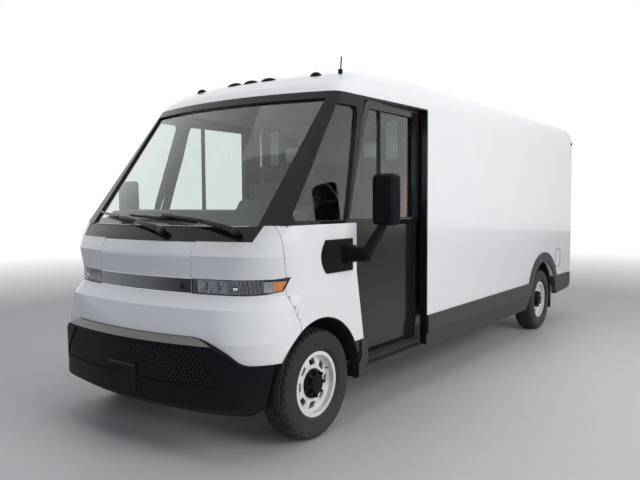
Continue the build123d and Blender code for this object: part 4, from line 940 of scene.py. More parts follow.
def hand_over(piece: Piece, finish: Finish | ClearFinish, slot: str = "black_trim", body: str = "chassis",
              smooth: float = 35.0, instead_of: str = "") -> None:
    """Give a piece its finish and body.

    Args:
        piece: The finished piece.
        finish: Its finish.
        slot: Material slot; not used.
        body: Frame body that it rides on.
        smooth: Edges sharper than this many degrees stay sharp.
        instead_of: Frame node that it stands for, if any.
    """
    piece.data.materials.clear()
    piece.data.materials.append(finish.build())
    take(piece)
    bpy.ops.object.shade_smooth_by_angle(angle=math.radians(smooth))
    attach(piece, body)
    if instead_of:
        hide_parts(instead_of)
    LOG.info("%s: %d faces on %s", piece.name, len(piece.data.polygons), body)


MIRROR_X = Matrix.Scale(-1.0, 4, AXIS_X)
SIDES = (("left", Matrix.Identity(4)), ("right", MIRROR_X))


def both_sides(model: Piece, name: str, finish: Finish | ClearFinish, slot: str = "black_trim",
               body: str = "chassis", smooth: float = 35.0) -> None:
    """Hand over a copy of a left-hand model for each side of the van, and drop the model.

    Args:
        model: The left-hand model.
        name: Name of the copies, before their side.
        finish: Their finish.
        slot: Their material slot.
        body: Frame body that they ride on, with braces where the side's name goes.
        smooth: Edges sharper than this many degrees stay sharp.
    """
    for side, change in SIDES:
        hand_over(copy_of(model, f"{name}_{side}", change), finish, slot, body.format(side), smooth)
    drop(model)


# ---- Wheels ------------------------------------------------------------------------------------
@dataclass
class Wheel:
    """One road wheel: treaded tyre, hub dressing and lug nuts, modelled once on the left.

    The tyre's section is given as (depth under the tread, distance from its middle).
    """

    steps: int = 88
    half_section: tuple[Pair, ...] = (
        (0.0, 0.0), (0.0, 0.012), (0.009, 0.0135), (0.009, 0.0205), (0.0005, 0.022), (0.001, 0.043),
        (0.009, 0.0445), (0.009, 0.0525), (0.002, 0.054), (0.005, 0.078), (0.012, 0.092), (0.022, 0.1005),
        (0.035, 0.105), (0.05, 0.1085), (0.052, 0.1105), (0.056, 0.1107), (0.058, 0.1098),
        (0.078, 0.1122),
        (0.098, 0.1115), (0.118, 0.108), (0.122, 0.1092), (0.128, 0.1088), (0.131, 0.1045),
        (0.142, 0.096), (0.152, 0.0885), (0.1685, 0.0815))
    hub_section: tuple[Pair, ...] = (
        (0.0, 0.05), (0.1005, 0.05), (0.1005, 0.062), (0.096, 0.068), (0.072, 0.069), (0.069, 0.072),
        (0.0675, 0.088), (0.064, 0.0935), (0.05, 0.1), (0.049, 0.0985), (0.026, 0.1005), (0.0, 0.101))
    valve_section: tuple[Pair, ...] = ((0.0, 0.0), (0.006, 0.0), (0.0055, 0.012), (0.0038, 0.015),
                                       (0.0038, 0.033), (0.0, 0.034))
    nuts: int = 8
    nut_ring: float = 0.083
    nut_x: float = 0.078
    valve_ring: float = 0.182
    valve_x: float = 0.03
    valve_turn: float = 22.5
    shoulder_depth: Pair = (0.001, 0.02)
    shoulder_along: Pair = (0.056, 0.1)
    rib_depth: float = 0.0035
    rib_along: float = 0.044

    def tyre(self) -> Piece:
        """Model the tyre around the left front wheel's centre."""
        r = PLACE.tyre_radius
        half = [(r - depth, along) for depth, along in self.half_section]
        profile = [(radius, -along) for radius, along in reversed(half[1:])] + half
        piece = lathe("tyre", profile, (PLACE.wheel_x, PLACE.front_axle, r), AXIS_X, self.steps,
                      closed=True)
        pitch = 2 * math.pi / self.steps

        def station(middle: Vector) -> tuple[int, float, float]:
            """Segment number, depth under the tread and distance from the middle of a face."""
            up, rear = middle.z - r, middle.y - PLACE.front_axle
            number = int((math.atan2(up, rear) % (2 * math.pi)) / pitch)
            return number, r - math.hypot(up, rear), middle.x - PLACE.wheel_x

        def shoulder(middle: Vector, normal: Vector) -> bool:
            """Every second segment of the shoulder, where the lugs are parted."""
            number, depth, along = station(middle)
            (top, foot), (near, far) = self.shoulder_depth, self.shoulder_along
            return number % 2 == 0 and top < depth < foot and near < abs(along) < far

        def sipe(middle: Vector, normal: Vector) -> bool:
            """Segments of the ribs that carry a cross cut."""
            number, depth, along = station(middle)
            cut_here = number % 4 == (0 if along > 0 else 2)
            return cut_here and depth < self.rib_depth and abs(along) < self.rib_along

        recess(piece, shoulder, 0.0022, 0.005)
        recess(piece, sipe, 0.005, 0.005, apart=True)
        return piece

    def on_ring(self, x: float, ring: float, angle: float) -> Point:
        """A place on the wheel's face, this far out from its axis and round it."""
        return (PLACE.wheel_x + x, PLACE.front_axle + ring * math.cos(angle),
                PLACE.tyre_radius + ring * math.sin(angle))

    def lug_nuts(self) -> Piece:
        """Model the ring of capped lug nuts on their seats."""
        members = []
        for number in range(self.nuts):
            angle = 2 * math.pi * number / self.nuts
            nut = disc("nut", self.on_ring(self.nut_x, self.nut_ring, angle), 0.0125, 0.022, AXIS_X, 6,
                       0.0118)
            recess(nut, LEFT, 0.004, -0.006)
            seat = self.on_ring(self.nut_x - 0.011, self.nut_ring, angle)
            members += [bevelled(nut, 0.0012, 2), disc("seat", seat, 0.017, 0.004, AXIS_X, 20, 0.015)]
        return join("lug_nuts", members)

    def build(self) -> None:
        """Model the wheel once and set it at the four places."""
        cover = lathe("hub_cover", self.hub_section, self.on_ring(0.0, 0.0, 0.0), AXIS_X)
        stem = self.on_ring(self.valve_x, self.valve_ring, math.radians(self.valve_turn))
        valve = lathe("valve", self.valve_section, stem, AXIS_X, 14)
        kit = ((self.tyre(), "tyre_tread", TYRE_RUBBER, "tyre"),
               (cover, "hub_cover", BLACK_PLASTIC, "frame_black"),
               (self.lug_nuts(), "lug_nuts", GLOSS_BLACK, "frame_black"),
               (valve, "valve_stem", RUBBER, "tyre"))
        for end, axle in (("front", PLACE.front_axle), ("rear", PLACE.rear_axle)):
            for side, change in SIDES:
                corner = f"{end}_{side}"
                place = Matrix.Translation((0, axle - PLACE.front_axle, 0)) @ change
                for model, kind, finish, slot in kit:
                    hand_over(copy_of(model, f"{kind}_{corner}", place), finish, slot, "wheel_" + corner,
                              28.0, "tyre_" + corner if kind == "tyre_tread" else "")
        drop(*(model for model, *_ in kit))


# ---- Nose: headlamps, bar, bumper --------------------------------------------------------------
@dataclass
class Headlamps:
    """Both headlamps: lens shell, dark bucket, reflector cups and the amber side lamp."""

    lens_wall: float = 0.003
    cups: tuple[Pair, ...] = ((0.535, 0.034), (0.625, 0.036), (0.715, 0.036), (0.8, 0.034))
    middle_z: float = 1.0615
    marker: Pair = (0.775, 1.05)
    marker_section: tuple[Pair, ...] = ((0.0, 0.012), (0.012, 0.009), (0.019, 0.0), (0.02, -0.004),
                                        (0.0, -0.005))
    amber: Pair = (-392.0, -315.0)
    white: Pair = (-436.0, -392.0)
    side_lamp_z: Pair = (1.03, 1.098)
    facet_x: tuple[float, float, int] = (0.5, 0.017, 24)
    facet_z: tuple[float, float, int] = (1.02, 0.0115, 8)
    facet_range: Pair = (1.018, 1.11)
    facet_rim: float = 0.003
    facet_rise: float = 0.004
    facet_weld: float = 0.0045
    facet_shift: Point = (-0.012, 0.022, 0.0)
    band_shift: Point = (-0.008, 0.006, 0.0)
    marker_shift: Point = (-0.006, 0.02, 0.0)
    marker_axis: Point = (0.4, -1.0, 0.0)
    wall_start: float = 0.488
    sunk: float = 0.03

    def outer(self, middle: Vector, normal: Vector) -> bool:
        """Whether a face of the lamp block lies on its outer skin."""
        out = Vector((0.75 if middle.x > 0 else -0.75, -1.0, 0.0)).normalized()
        return abs(normal.z) < 0.8 and normal.dot(out) > 0.35

    def outer_left(self, middle: Vector, normal: Vector) -> bool:
        """Whether a face lies on the left lamp's outer skin."""
        return middle.x > 0 and self.outer(middle, normal)

    def shells(self) -> None:
        """Part the lamp block into a lens and a bucket behind it, with a gasket round the lens."""
        lens = skin_copy("headlamps", "headlamp_lenses", self.outer)
        modify(lens, "SOLIDIFY", thickness=self.lens_wall, offset=-1.0)
        bucket = skin_copy("headlamps", "headlamp_buckets", lambda m, n: not self.outer(m, n))
        modify(bucket, "SOLIDIFY", thickness=0.002, offset=-1.0)
        gasket = rim_tube("headlamps", "headlamp_gasket", self.outer, 0.003)
        hand_over(lens, LENS_GLASS, "lamp", instead_of="headlamps")
        hand_over(bucket, LAMP_DARK, "lamp")
        hand_over(gasket, RUBBER, "lamp")

    def cup(self, x: float, radius: float, skin: BVHTree) -> tuple[Piece, Piece]:
        """One reflector cup and its lens ball, set just behind the lens at this x."""
        front, normal = from_front(skin, x, self.middle_z)
        out = Vector((normal.x * 0.6, normal.y, 0)).normalized()
        centre = front - out * self.sunk
        cup = [(0.012, -0.03), (radius * 0.6, -0.022), (radius, 0.004), (radius + 0.004, 0.006),
               (radius + 0.004, 0.001), (radius * 0.6 + 0.003, -0.026), (0.012, -0.034)]
        ball = [(0.0, 0.008), (radius * 0.28, 0.005), (radius * 0.45, -0.004), (radius * 0.48, -0.012),
                (radius * 0.4, -0.024), (0.0, -0.026)]
        return lathe("cup", cup, centre, out, 28, closed=True), lathe("ball", ball, centre, out, 24)

    def band(self, name: str, first: float, last: float) -> Piece:
        """The part of the lamp's skin between two places behind the axle, as a thin block."""
        piece = skin_copy("headlamps", name, self.outer_left)
        low, high = self.side_lamp_z
        for point, normal in ((PLACE.at(0, first, 0), (0, -1, 0)), (PLACE.at(0, last, 0), AXIS_Y),
                              ((0, 0, high), AXIS_Z), ((0, 0, low), (0, 0, -1))):
            cut(piece, point, normal, clear=True)
        modify(piece, "SOLIDIFY", thickness=0.006, offset=-1.0)
        piece.data.transform(Matrix.Translation(self.band_shift))
        return piece

    def facets(self) -> Piece:
        """A faceted reflector wall behind the lens, between the bar and the side lamp."""
        wall = skin_copy("headlamps", "facets", self.outer_left)
        cut(wall, (self.wall_start, 0, 0), (-1, 0, 0), clear=True)
        cut(wall, PLACE.at(0, self.white[0], 0), AXIS_Y, clear=True)
        for (start, pitch, count), axis in ((self.facet_x, AXIS_X), (self.facet_z, AXIS_Z)):
            for step in range(count):
                cut(wall, Vector(axis) * (start + pitch * step), axis)
        dissolve(wall, 0.05)
        tidy_mesh(wall, self.facet_weld)
        recess(wall, lambda middle, normal: True, self.facet_rim, self.facet_rise, apart=True)
        for vertex in wall.data.vertices:
            vertex.co.z = min(max(vertex.co.z, self.facet_range[0]), self.facet_range[1])
        modify(wall, "SOLIDIFY", thickness=0.001, offset=-1.0)
        wall.data.transform(Matrix.Translation(self.facet_shift))
        return wall

    def build(self) -> None:
        """Model the left lamp's parts and mirror them."""
        skin = surface("headlamps")
        self.shells()
        cups, balls = zip(*(self.cup(x, radius, skin) for x, radius in self.cups))
        spot = from_front(skin, *self.marker)[0] + Vector(self.marker_shift)
        tear = lathe("tear", self.marker_section, spot, self.marker_axis, 24)
        for model, name, finish, slot in (
                (join("cups", cups), "headlamp_cups", DARK_CHROME, "silver_trim"),
                (join("balls", balls), "headlamp_balls", LENS_GLASS, "lamp"),
                (self.facets(), "headlamp_facets", DARK_CHROME, "silver_trim"),
                (tear, "headlamp_marker", CHROME, "silver_trim"),
                (self.band("amber", *self.amber), "side_lamp", AMBER, "lamp"),
                (self.band("white", *self.white), "side_reflector", CHROME, "silver_trim")):
            both_sides(model, name, finish, slot)


@dataclass
class FrontTrim:
    """Bumper studs, a painted highlight on the ledge, blank plate bracket, and the bar's edge and blank
    round badge.
    """

    pitch_x: float = 0.034
    pitch_z: float = 0.021
    stud: float = 0.0135
    stud_rise: float = 0.007
    field_z: Pair = (0.485, 0.694)
    field_half: Pair = (0.799, 0.616)
    field_ends: Pair = (0.495, 0.702)
    field_margin: float = 0.03
    least_size: float = 0.62
    least_x: float = -0.2
    full_size_after: float = 0.5
    behind_plate: Pair = (0.16, 0.558)
    faces_front: float = -0.4
    sunk: float = 0.0004
    badge: Pair = (0.396, 1.0615)
    badge_section: tuple[Pair, ...] = ((0.0, 0.0022), (0.02, 0.002), (0.024, 0.0), (0.024, -0.004),
                                       (0.0, -0.004))
    plate_low: float = 0.377
    plate_half: float = 0.141
    plate_height: float = 0.151
    crest_ribs: int = 14

    def stud_model(self) -> Piece:
        """One three-sided stud with a sunken top, pointing along Z."""
        model = disc("stud", (0, 0, self.stud_rise / 2), self.stud, self.stud_rise, AXIS_Z, 3,
                     self.stud * 0.45)
        recess(model, TOP, self.stud * 0.12, self.stud_rise * 0.25)
        return model

    def studs(self, skin: BVHTree) -> None:
        """Cover the bumper's recessed panel with rows of copies of the stud."""
        model = self.stud_model()
        copies = []
        low, high = self.field_z
        (wide, narrow), (start, end) = self.field_half, self.field_ends
        for row in range(int((high - low) / self.pitch_z) + 1):
            z = low + row * self.pitch_z
            reach = wide + (narrow - wide) * max((z - start) / (end - start), 0.0) - self.field_margin
            count = int(reach / self.pitch_x)
            for column in range(-count - 1, count + 2):
                x = (column + 0.5 * (row % 2)) * self.pitch_x
                hidden = abs(x) < self.behind_plate[0] and z < self.behind_plate[1]
                place, normal = from_front(skin, x, z)
                if abs(x) > reach or hidden or place is None or normal.y > self.faces_front:
                    continue
                turn = normal.to_track_quat("Z", "Y").to_matrix().to_4x4()
                share = min(abs(x - self.least_x) / self.full_size_after, 1.0)
                size = self.least_size + (1.0 - self.least_size) * share
                spot = Matrix.Translation(place - normal * self.sunk) @ turn @ Matrix.Scale(size, 4)
                copies.append(copy_of(model, "stud_copy", spot))
        drop(model)
        hand_over(join("bumper_studs", copies), STUD_PLASTIC, smooth=20.0)

    def ledge(self) -> None:
        """Model a paler skin on the bumper's sloped upper ledge, a painted highlight."""
        ledge = skin_copy("front_bumper", "bumper_ledge",
                          lambda middle,
                          normal: normal.z > 0.35 and normal.y < -0.15 and 0.6 < middle.z < 0.757)
        hand_over(modify(ledge, "SOLIDIFY", thickness=0.0012, offset=1.0), LEDGE_SHEEN)

    def plate(self, front: float) -> None:
        """Model the blank plate bracket and its ribbed crest, at this Y."""
        half, top = self.plate_half, self.plate_low + self.plate_height
        hand_over(panel("plate_bracket", (-half, front, self.plate_low), (half, front + 0.032, top),
                        FRONT, 0.012, 0.003, 0.004), BLACK_PLASTIC)
        crest = ribbed("plate_crest", (-half, front - 0.003, top - 0.002),
                       (half, front + 0.02, top + 0.016), 0, self.crest_ribs, FRONT, 0.004, 0.003)
        hand_over(bevelled(crest, 0.001, 1), GLOSS_BLACK)

    def build(self) -> None:
        """Model the small parts on the nose."""
        bumper = surface("front_bumper")
        self.studs(bumper)
        self.ledge()
        self.plate(from_front(bumper, 0.0, self.plate_low + 0.05)[0].y - 0.002)
        edge = rim_tube("light_bar", "light_bar_edge", facing(1, -1, 0.6), 0.0028)
        hand_over(edge, CHROME, "silver_trim")
        badge = lathe("badge_blank", self.badge_section, *from_front(surface("light_bar"), *self.badge),
                      32)
        hand_over(badge, GLOSS_BLACK, "silver_trim")


# ---- Body skin, seals and wipers ---------------------------------------------------------------
@dataclass
class BodyPanels:
    """Outer panels with soft creases and rolled rims in place of the frame's faceted ones."""

    crease: float = 0.016
    crease_turn: Pair = (9.0, 65.0)
    rim: float = 0.0012
    rim_turn: Pair = (70.0, 120.0)
    white: tuple[str, ...] = ("nose_fascia", "hood_corners", "hood_panel", "front_fenders")
    black: tuple[str, ...] = ("front_bumper",)

    def build(self) -> None:
        """Copy each panel, round its creases and give it to the scene."""
        for node in self.white + self.black:
            skin = skin_copy(node, node + "_skin")
            dissolve(skin)
            round_edges(skin, self.crease_turn, self.crease, 4)
            round_edges(skin, self.rim_turn, self.rim, 2)
            finish, slot = (WHITE_PAINT, "white_paint") if node in self.white else (BLACK_PLASTIC,
                                                                                    "black_trim")
            hand_over(skin, finish, slot, smooth=55.0, instead_of=node)
            modify(skin, "WEIGHTED_NORMAL", keep_sharp=True, weight=60)


@dataclass
class Glazing:
    """Seals round the fixed glass, and both wipers with their pivots and blades.

    A wiper's run gives its pivot, knee, grip and tip as (x, rise over the windscreen's foot).
    """

    seal: float = 0.006
    slope: float = 0.78
    bow: float = 2.9
    foot: Pair = (-606.0, 1.35)
    highlight_rise: float = 0.088
    runs: tuple[tuple[Pair, ...], ...] = (
        ((0.754, 0.041), (0.503, 0.095), (0.143, 0.136), (-0.288, 0.146)),
        ((0.174, 0.039), (-0.129, 0.093), (-0.454, 0.133), (-0.808, 0.166)))
    post_section: tuple[Pair, ...] = ((0.0, 0.056), (0.016, 0.055), (0.026, 0.048), (0.029, 0.034),
                                      (0.026, 0.02), (0.02, 0.004), (0.0, 0.004))

    def on_screen(self, x: float, rise: float, lift: float) -> Vector:
        """A place this far out from the windscreen, by its x and its height over the foot."""
        lean = math.hypot(1.0, self.slope)
        sag = self.bow - math.sqrt(self.bow**2 - x**2)
        back, z = self.foot
        return Vector((x, PLACE.back(back) + rise * self.slope + sag - lift / lean,
                       z + rise + lift * self.slope / lean))

    def wiper(self, name: str, run: Sequence[Pair]) -> None:
        """Model one wiper: capped pivot, cranked arm, clip, and a blade with its rubber."""
        pivot, knee, grip, tip = run
        out = self.on_screen(0.0, 0.2, 1.0) - self.on_screen(0.0, 0.2, 0.0)
        lead = (knee[0] + (grip[0] - knee[0]) * 0.25, knee[1] + (grip[1] - knee[1]) * 0.25)
        near, far = (grip[0] + 0.05, grip[1] - 0.004), (grip[0] - 0.05, grip[1] + 0.002)
        members = [lathe("post", self.post_section, self.on_screen(*pivot, 0.0), out, 24)]
        for start, lift, end, end_lift, size, end_size, round_by in (
                (pivot, 0.04, knee, 0.042, (0.042, 0.026), (0.026, 0.02), 0.006),
                (knee, 0.042, grip, 0.04, (0.024, 0.016), (0.02, 0.014), 0.004),
                (lead, 0.025, tip, 0.024, (0.024, 0.02), (0.012, 0.013), 0.004),
                (lead, 0.0085, tip, 0.0095, (0.006, 0.014), (0.005, 0.013), 0.001),
                (near, 0.034, far, 0.034, (0.03, 0.022), (0.03, 0.02), 0.005)):
            members.append(strut("bar", self.on_screen(*start, lift), self.on_screen(*end, end_lift),
                                 size, end_size, out, round_by))
        hand_over(join(name, members), GLOSS_BLACK, instead_of="wipers")

    def build(self) -> None:
        """Model the seals, a chrome strip on the cowl that is a painted highlight line, and the wipers.
        """
        for node, name, test in (
                ("windshield", "windscreen_seal", lambda m, n: n.y < -0.4 and n.z > 0.2),
                ("quarter_windows", "quarter_seals", lambda m, n: n.x * m.x > 0 and abs(n.x) > 0.6)):
            hand_over(rim_tube(node, name, test, self.seal), RUBBER)
        # A chrome strip along the windscreen's foot: a painted highlight, standing in for a reflected
        # light line on the cowl.
        line = tube("cowl_highlight_strip", [self.on_screen(x / 10, self.highlight_rise, 0.004) for x in range(-8, 9)],
                    0.0022, rings=1)
        hand_over(line, CHROME, "silver_trim", smooth=60.0)
        for name, run in zip(("wiper_left", "wiper_right"), self.runs):
            self.wiper(name, run)


@dataclass
class Mirrors:
    """Mirror glasses in their shells, and the ribbed faces of the plates that carry them."""

    crease: float = 0.006
    crease_turn: Pair = (18.0, 62.0)
    rim: float = 0.0025
    rim_turn: Pair = (65.0, 120.0)
    head_x: Pair = (1.1995, 1.3575)
    head_z: Pair = (1.4415, 1.7765)
    head_back: float = 487.5
    far_shift: float = -0.2
    plate_x: float = 1.074
    plate_low: float = 1.132
    plate_back: Pair = (62.0, 340.0)
    root_back: float = 218.0
    rows: int = 9
    row_pitch: float = 0.0213
    first_row: float = 0.011
    waves: int = 12
    wave: float = 0.008
    rib: float = 0.0042

    def ribs(self) -> Piece:
        """Diagonal wave ribs on the left plate's face."""
        rows = []
        start, end = self.plate_back
        for row in range(self.rows):
            z = self.plate_low + self.first_row + row * self.row_pitch
            places = [(start + (end - start) * step / self.waves, step) for step in range(self.waves + 1)]
            points = [PLACE.at(self.plate_x, distance, z + self.wave * (1 if step % 2 else -1))
                      for distance, step in places if distance <= self.root_back]
            rows.append(tube("rib", points, self.rib, smooth=False, rings=1))
        return join("ribs", rows)

    def build(self) -> None:
        """Model the left side and mirror it to the far side, whose head sits further forward."""
        skin = skin_copy("mirrors", "mirror_shells")
        dissolve(skin)
        round_edges(skin, self.crease_turn, self.crease, 3)
        round_edges(skin, self.rim_turn, self.rim, 2)
        hand_over(skin, BLACK_PLASTIC, smooth=40.0, instead_of="mirrors")
        both_sides(self.ribs(), "mirror_plate_ribs", GLOSS_BLACK, smooth=20.0)
        (left, right), (low, high) = self.head_x, self.head_z
        y = PLACE.back(self.head_back)
        pane = slab("pane", (left, y, low), (right, y + 0.003, high), 0.001, 2)
        split = slab("split", (left + 0.004, y + 0.0028, low + 0.085),
                     (right - 0.004, y + 0.0042, low + 0.091), 0.0005, 1)
        for side, change in SIDES:
            place = Matrix.Translation((0, 0 if side == "left" else self.far_shift, 0)) @ change
            hand_over(copy_of(pane, "mirror_glass_" + side, place), MIRROR_GLASS, "silver_trim")
            hand_over(copy_of(split, "mirror_divider_" + side, place), RUBBER)
        drop(pane, split)


# ---- Cab: seats, wheel, dashboard --------------------------------------------------------------
@dataclass
class SteeringWheel:
    """Driver's wheel: padded rim, spokes, hub pad and buttons, on its tilted axis."""

    centre: Point = (0.6, -1.9605, 1.588)
    tilt: float = 26.0
    radius: float = 0.205
    grip: float = 0.0145
    hub_section: tuple[Pair, ...] = ((0.0, 0.012), (0.03, 0.0115), (0.052, 0.008), (0.062, 0.0),
                                     (0.064, -0.01), (0.05, -0.021), (0.0, -0.021))
    spokes: tuple[float, ...] = (0.0, 180.0, -90.0)
    button: Point = (0.095, 0.0085, 0.0075)

    def keys(self) -> Iterable[Piece]:
        """The four buttons on the spokes."""
        across, along, low = self.button
        for x in (-across, across):
            for y in (-along, along):
                yield slab("button", (x - 0.013, y - 0.006, low), (x + 0.013, y + 0.006, low + 0.004),
                           0.0015, 2)

    def build(self) -> None:
        """Model the wheel flat, then turn it onto its axis."""
        ring = [(self.radius + self.grip * math.cos(step * math.pi / 6) * 0.95,
                 self.grip * math.sin(step * math.pi / 6)) for step in range(12)]
        members = [lathe("rim", ring, (0, 0, 0), AXIS_Z, 64, closed=True),
                   lathe("hub", self.hub_section, (0, 0, 0), AXIS_Z, 32)]
        for angle in self.spokes:
            way = Vector((math.cos(math.radians(angle)), math.sin(math.radians(angle)), 0))
            members.append(strut("spoke", way * 0.045, way * (self.radius - 0.004), (0.05, 0.02),
                                 (0.03, 0.014), AXIS_Z, 0.006))
        tilt = math.radians(self.tilt)
        axis, across = Vector((0, math.cos(tilt), math.sin(tilt))), Vector(AXIS_X)
        change = Matrix.Translation(self.centre) @ Matrix((across, axis.cross(across),
                                                           axis)).transposed().to_4x4()
        for piece, finish, node in ((join("steering_wheel_padded", members), CAB_DARK, "steering_wheel"),
                                    (join("steering_wheel_buttons", self.keys()), SATIN_ALLOY, "")):
            piece.data.transform(change)
            hand_over(piece, finish, "interior_dark", "steering_wheel", 50.0, node)


@dataclass
class Seats:
    """Both cab seats: padded cushion, back and head rest on a sprung base.

    A pad gives its half width, the ends of its box behind the seat's place and in height, the width
    of its rounding and, where it is sewn, the distance of its channels from the middle.
    """

    x: float = 0.6
    place: float = 870.0
    far_x: float = -0.6
    far_place: float = 900.0
    cushion: tuple[float, ...] = (0.225, -45.0, 420.0, 1.115, 1.205, 0.03, 0.135)
    rest: tuple[float, ...] = (0.208, 362.0, 430.0, 1.15, 1.75, 0.028, 0.125)
    head: tuple[float, ...] = (0.112, 468.0, 536.0, 1.795, 1.95, 0.026, 0.0)
    lean: float = 0.078
    voxel: float = 0.013
    pressure: float = 4.0
    frames: int = 20
    cap: float = 0.018
    channel: float = 0.006
    channel_width: float = 0.009
    core: float = 0.02
    fill: float = 0.7
    folds: int = 9
    fold_z: float = 0.72
    fold_height: float = 0.036

    def swell(self, piece: Piece) -> None:
        """Puff a pad with a short cloth run and hold each point within the cap."""
        modify(piece, "REMESH", mode="VOXEL", voxel_size=self.voxel)
        before = [vertex.co.copy() for vertex in piece.data.vertices]
        cloth = piece.modifiers.new("cloth", "CLOTH")
        cloth.settings.use_pressure = True
        cloth.settings.uniform_pressure_force = self.pressure
        cloth.settings.effector_weights.gravity = 0.0
        cloth.settings.quality = 4
        scene = bpy.context.scene
        for number in range(1, self.frames + 1):
            scene.frame_set(number)
        take(piece)
        bpy.ops.object.modifier_apply(modifier="cloth")
        scene.frame_set(1)
        for vertex, start in zip(piece.data.vertices, before):
            step = vertex.co - start
            if step.length > self.cap:
                vertex.co = start + step * (self.cap / step.length)
        modify(piece, "SUBSURF", levels=1, render_levels=1)

    def sew(self, piece: Piece, apart: float) -> None:
        """Draw a sewn channel into a pad on each side of the seat's middle, this far from it."""
        middle = sum((vertex.co for vertex in piece.data.vertices), Vector()) / len(piece.data.vertices)
        for vertex in piece.data.vertices:
            near = min(abs(vertex.co.x - self.x - line) for line in (-apart, apart))
            pull = self.channel * math.exp(-((near / self.channel_width) ** 2))
            inward = middle - vertex.co
            inward.x = 0.0
            if inward.length > self.core:
                vertex.co += inward.normalized() * pull

    def box(self, name: str, half: float, start: float, end: float, low: float, high: float,
            *rounding: float) -> Piece:
        """A slab about the seat's middle, between two places behind the seat's and two heights."""
        return slab(name, PLACE.at(self.x - half, self.place + start, low),
                    PLACE.at(self.x + half, self.place + end, high), *rounding)

    def pads(self) -> dict[str, Piece]:
        """Model the three pads of the driver's seat."""
        made = {name: self.box(name, *size[:5]) for name, size in self.sizes().items()}
        pick(made["seat_cushion"], FRONT)
        bpy.ops.mesh.extrude_region_move(TRANSFORM_OT_translate={"value": (0, -0.008, -0.006)})
        done()
        shift_faces(made["seat_back"], TOP, (0, self.lean, 0), (0.9, 1, 1))
        for name, pad in made.items():
            round_by, apart = self.sizes()[name][5:]
            bevelled(pad, round_by)
            self.swell(pad)
            if apart:
                self.sew(pad, apart)
        return made

    def sizes(self) -> dict[str, tuple[float, ...]]:
        """The pads' names and sizes."""
        return {"seat_cushion": self.cushion, "seat_back": self.rest, "seat_head": self.head}

    def frame(self) -> Piece:
        """Model the base: floor rails, bellows, side shields, back shell and head rest posts."""
        members = [self.box("foot", 0.15, 4.0, 376.0, 0.662, 0.72, 0.012)]
        for number in range(self.folds):
            grow = 0.012 * (number % 2)
            z = self.fold_z + number * self.fold_height
            members.append(self.box("fold", 0.128 + grow, 26.0 - grow * 1000, 354.0 + grow * 1000, z,
                                    z + self.fold_height, 0.008, 2))
        members.append(self.box("tray", 0.2, -30.0, 420.0, 1.044, 1.104, 0.014))
        for side in (-1, 1):
            shield, post = self.x + side * 0.2175, self.x + side * 0.055
            members.append(slab("shield", PLACE.at(shield - 0.0175, self.place + 120.0, 1.05),
                                PLACE.at(shield + 0.0175, self.place + 430.0, 1.15), 0.012))
            members.append(tube("post", [PLACE.at(post, self.place + 492.0, 1.72),
                                         PLACE.at(post, self.place + 500.0, 1.83)], 0.0065, smooth=False))
        shell = self.box("shell", 0.195, 428.0, 446.0, 1.14, 1.72)
        shift_faces(shell, TOP, (0, self.lean, 0))
        return join("seat_base", [*members, bevelled(shell, 0.008, 2)])

    def build(self) -> None:
        """Model the driver's seat and copy it to the far side."""
        models = {**self.pads(), "seat_base": self.frame()}
        shift = Matrix.Translation((self.far_x - self.x, (self.far_place - self.place) / 1000.0, 0))
        for side, change in (("left", Matrix.Identity(4)), ("right", shift)):
            for name, model in models.items():
                piece = copy_of(model, f"{name}_{side}", change)
                if name == "seat_base":
                    hand_over(piece, CAB_DARK, "interior_dark", instead_of="seats")
                else:
                    hand_over(piece, SEAT_CLOTH, "interior_dark", smooth=60.0, instead_of="seats")
        drop(*models.values())


